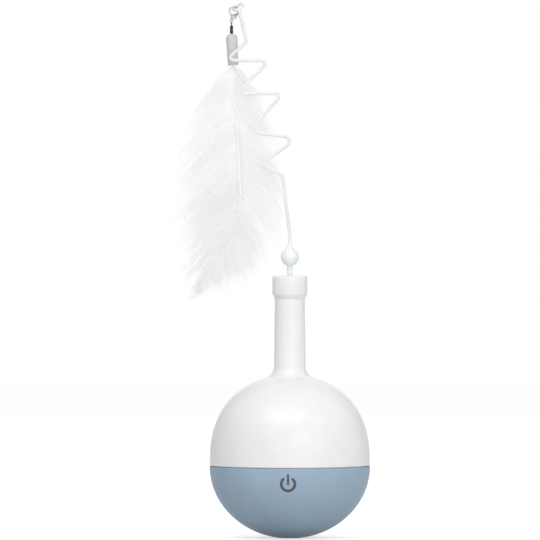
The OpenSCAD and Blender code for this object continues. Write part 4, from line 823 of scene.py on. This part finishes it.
shaft = {"first": -12, "last": 114, "steps": 64, "radius": 0.42, "thinning": 0.8, "lean": 0.0524,
         "forward": 0.3, "forwardBy": 12}  # it leans with the cap above, and comes forward below it
quillPoints, quillRadii = [], []
for drop in np.linspace(shaft["first"], shaft["last"], shaft["steps"]):
    below = max(drop, 0)
    x = float(quillAt(below)) + shaft["lean"] * min(drop, 0)
    y = plume["back"] * below / plume["long"] - shaft["forward"] * min(1, below / shaft["forwardBy"])
    quillPoints.append((rootX + x, rootY + y, rootZ - drop))
    quillRadii.append(1 - shaft["thinning"] * below / shaft["last"])
quill = wire("quill", quillPoints, shaft["radius"], radii=quillRadii)
finishPiece(quill, "lure", "feather", featherQuill, "feather_quills", sharpAbove=60)
print("plume made:", len(near), "barbs")


# Works inside: the CAD solids stay, each finish with its own grain

innerFinishes = {  # slot: name, two colours, grain in mm, roughness low and high, metallic
    "copper_foil": ("rolled_copper_foil", "#B4703A", "#C58450", 1.5, 0.25, 0.4, 1.0),
    "bare_metal": ("tinned_steel_sheet", "#BFC1C3", "#CDCFD0", 1.2, 0.22, 0.36, 1.0),
    "black_plastic": ("moulded_black_nylon", "#1F2022", "#2A2B2D", 0.8, 0.4, 0.55, 0.0),
    "board_green": ("glass_epoxy_board", "#245A40", "#2F6F50", 0.7, 0.35, 0.5, 0.0),
    "screw_steel": ("zinc_plated_steel", "#A4A7AA", "#B7BABC", 0.6, 0.28, 0.42, 1.0),
    "iron_weight": ("cast_iron_weight", "#5C5E61", "#74777A", 1.6, 0.5, 0.7, 0.85),
    "inner_plastic": ("moulded_abs_ivory", "#DDD7C8", "#EAE5D9", 3.0, 0.4, 0.55, 0.0),
    "bronze": ("sintered_bronze", "#9C7843", "#B59058", 0.4, 0.4, 0.6, 1.0),
    "shaft_steel": ("ground_shaft_steel", "#B4B7B9", "#C6C8CA", 0.5, 0.15, 0.3, 1.0),
    "gear_plastic": ("moulded_acetal", "#E9E5DA", "#F3F0E8", 2.0, 0.3, 0.42, 0.0),
    "magnet": ("sintered_ferrite", "#3C3E41", "#4C4E52", 0.5, 0.55, 0.75, 0.1),
    "copper_winding": ("enamelled_copper_wire", "#9C5A2C", "#B97540", 0.35, 0.25, 0.4, 0.8),
    "battery_sleeve": ("shrink_sleeve_blue", "#37659B", "#4676AE", 4.0, 0.25, 0.4, 0.0),
    "lead_cover": ("pvc_lead_cover", "#8E3A35", "#A3463F", 2.0, 0.4, 0.55, 0.0),
}


def innerMaterial(name, dark, light, size, roughLow, roughHigh, metallic):
    material, tree, shader, place = newMaterial(name, {"Metallic": metallic})
    grain = addNode(tree, "ShaderNodeTexNoise", {"Scale": 1 / (size * mm), "Detail": 3}, {"Vector": place})
    usePattern(tree, shader, grain, ((0.3, dark), (0.7, light)), (roughLow, roughHigh), relief=(0.2, 0.03))
    return material


innerMade = {slot: innerMaterial(*finish) for slot, finish in innerFinishes.items()}
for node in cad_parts.values():
    for holder in node.material_slots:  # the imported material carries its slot's name
        slotName = holder.material.name.split(".")[0]
        if slotName in innerMade:
            holder.material = innerMade[slotName]
print("works inside finished")


# Floor, light and camera

floor = {"size": 6.0, "level": -0.00015, "dull": "#CECECE", "pale": "#DADADA", "glow": 0.6}
letGo()
bpy.ops.mesh.primitive_plane_add(size=floor["size"], location=(0, 0, floor["level"]))
floorPlane = bpy.context.object
floorPlane.name = "floorPlane"
bpy.ops.object.transform_apply()


def splitByRay(tree, output, lighting, shown):  # shown is what camera, mirrors and glass see
    ray = addNode(tree, "ShaderNodeLightPath").outputs
    seen = ray["Is Camera Ray"]
    for other in ("Is Glossy Ray", "Is Transmission Ray"):
        seen = addNode(tree, "ShaderNodeMath", links={0: seen, 1: ray[other]}, operation="MAXIMUM").outputs[0]
    both = addNode(tree, "ShaderNodeMixShader", links={0: seen, 1: lighting.outputs[0], 2: shown.outputs[0]})
    addNode(tree, output, links={"Surface": both.outputs[0]})


floorPaint = bpy.data.materials.new("studio_floor_white")
tree = emptyTree(floorPaint)
dull = addNode(tree, "ShaderNodeBsdfDiffuse", {"Color": linear(floor["dull"])})
pale = addNode(tree, "ShaderNodeBsdfDiffuse", {"Color": linear(floor["pale"])})
glow = addNode(tree, "ShaderNodeEmission", {"Color": (1, 1, 1, 1), "Strength": floor["glow"]})
bright = addNode(tree, "ShaderNodeAddShader", links={0: pale.outputs[0], 1: glow.outputs[0]})
splitByRay(tree, "ShaderNodeOutputMaterial", dull, bright)
floorPlane.data.materials.append(floorPaint)

# Two grey flags behind the toy, seen by its gloss alone, draw the edges of the white shell against the white
flags = {"near": 0.24, "far": 1.1, "behind": 0.7, "low": 0.01, "high": 0.95, "grey": "#D6D6D6"}
flagPaint = bpy.data.materials.new("studio_flag_grey")
tree = emptyTree(flagPaint)
grey = addNode(tree, "ShaderNodeEmission", {"Color": linear(flags["grey"]), "Strength": 1.0})
addNode(tree, "ShaderNodeOutputMaterial", links={"Surface": grey.outputs[0]})
for name, side in (("flagLeft", -1), ("flagRight", 1)):
    letGo()
    middle = (side * (flags["near"] + flags["far"]) / 2, flags["behind"], (flags["low"] + flags["high"]) / 2)
    bpy.ops.mesh.primitive_plane_add(size=1, location=middle, rotation=(math.pi / 2, 0, 0))
    flag = bpy.context.object
    flag.name = name
    flag.scale = (flags["far"] - flags["near"], flags["high"] - flags["low"], 1)
    bpy.ops.object.transform_apply()
    flag.data.materials.append(flagPaint)
    flag.visible_camera = flag.visible_diffuse = flag.visible_shadow = flag.visible_transmission = False

sky = {"light": 0.53, "shown": 1.0}  # what lights the toy, and the white that is seen
studio = bpy.data.worlds.new("studio")
bpy.context.scene.world = studio
tree = emptyTree(studio)
soft = addNode(tree, "ShaderNodeBackground", {"Color": (1, 1, 1, 1), "Strength": sky["light"]})
white = addNode(tree, "ShaderNodeBackground", {"Color": (1, 1, 1, 1), "Strength": sky["shown"]})
splitByRay(tree, "ShaderNodeOutputWorld", soft, white)

lamps = {  # where, what it points at, width and height, watts, whether a gloss mirrors it
    "keyBox": ((-0.2, -0.85, 1.3), (0, 0, 0.08), 1.35, 0.64, 6.4, True),
    "frontBox": ((0.6, -1.7, 0.45), (0, 0, 0.14), 1.2, 1.0, 13.4, False),
    "backBox": ((-0.4, 1.3, 1.1), (0, 0, 0.15), 1.2, 1.0, 3.0, False),
}
for name, (where, aim, width, tall, watts, mirrored) in lamps.items():
    letGo()
    bpy.ops.object.light_add(type="AREA", location=where)
    lamp = bpy.context.object
    lamp.name = name
    lamp.data.shape = "RECTANGLE"
    lamp.data.size, lamp.data.size_y = width, tall
    lamp.data.energy = watts
    lamp.visible_glossy = mirrored
    lamp.rotation_euler = (Vector(aim) - Vector(where)).to_track_quat("-Z", "Y").to_euler()

view = {"aim": (-0.0105, 0, 0.1418), "far": 6.0, "rise": 0.105, "turn": 1.4, "field": 0.2858,
        "sensor": 36}  # the sensor in mm, as its lens is
letGo()
turn = math.radians(view["turn"])
aim = Vector(view["aim"])
eye = aim + Vector((math.sin(turn) * view["far"], -math.cos(turn) * view["far"], view["rise"]))
bpy.ops.object.camera_add(location=eye, rotation=(aim - eye).to_track_quat("-Z", "Y").to_euler())
camera = bpy.context.object
camera.data.sensor_width = view["sensor"]
camera.data.lens = view["sensor"] * view["far"] / view["field"]
bpy.context.scene.camera = camera
bpy.context.scene.view_settings.view_transform = "Standard"
letGo()
print("floor, light and camera set")
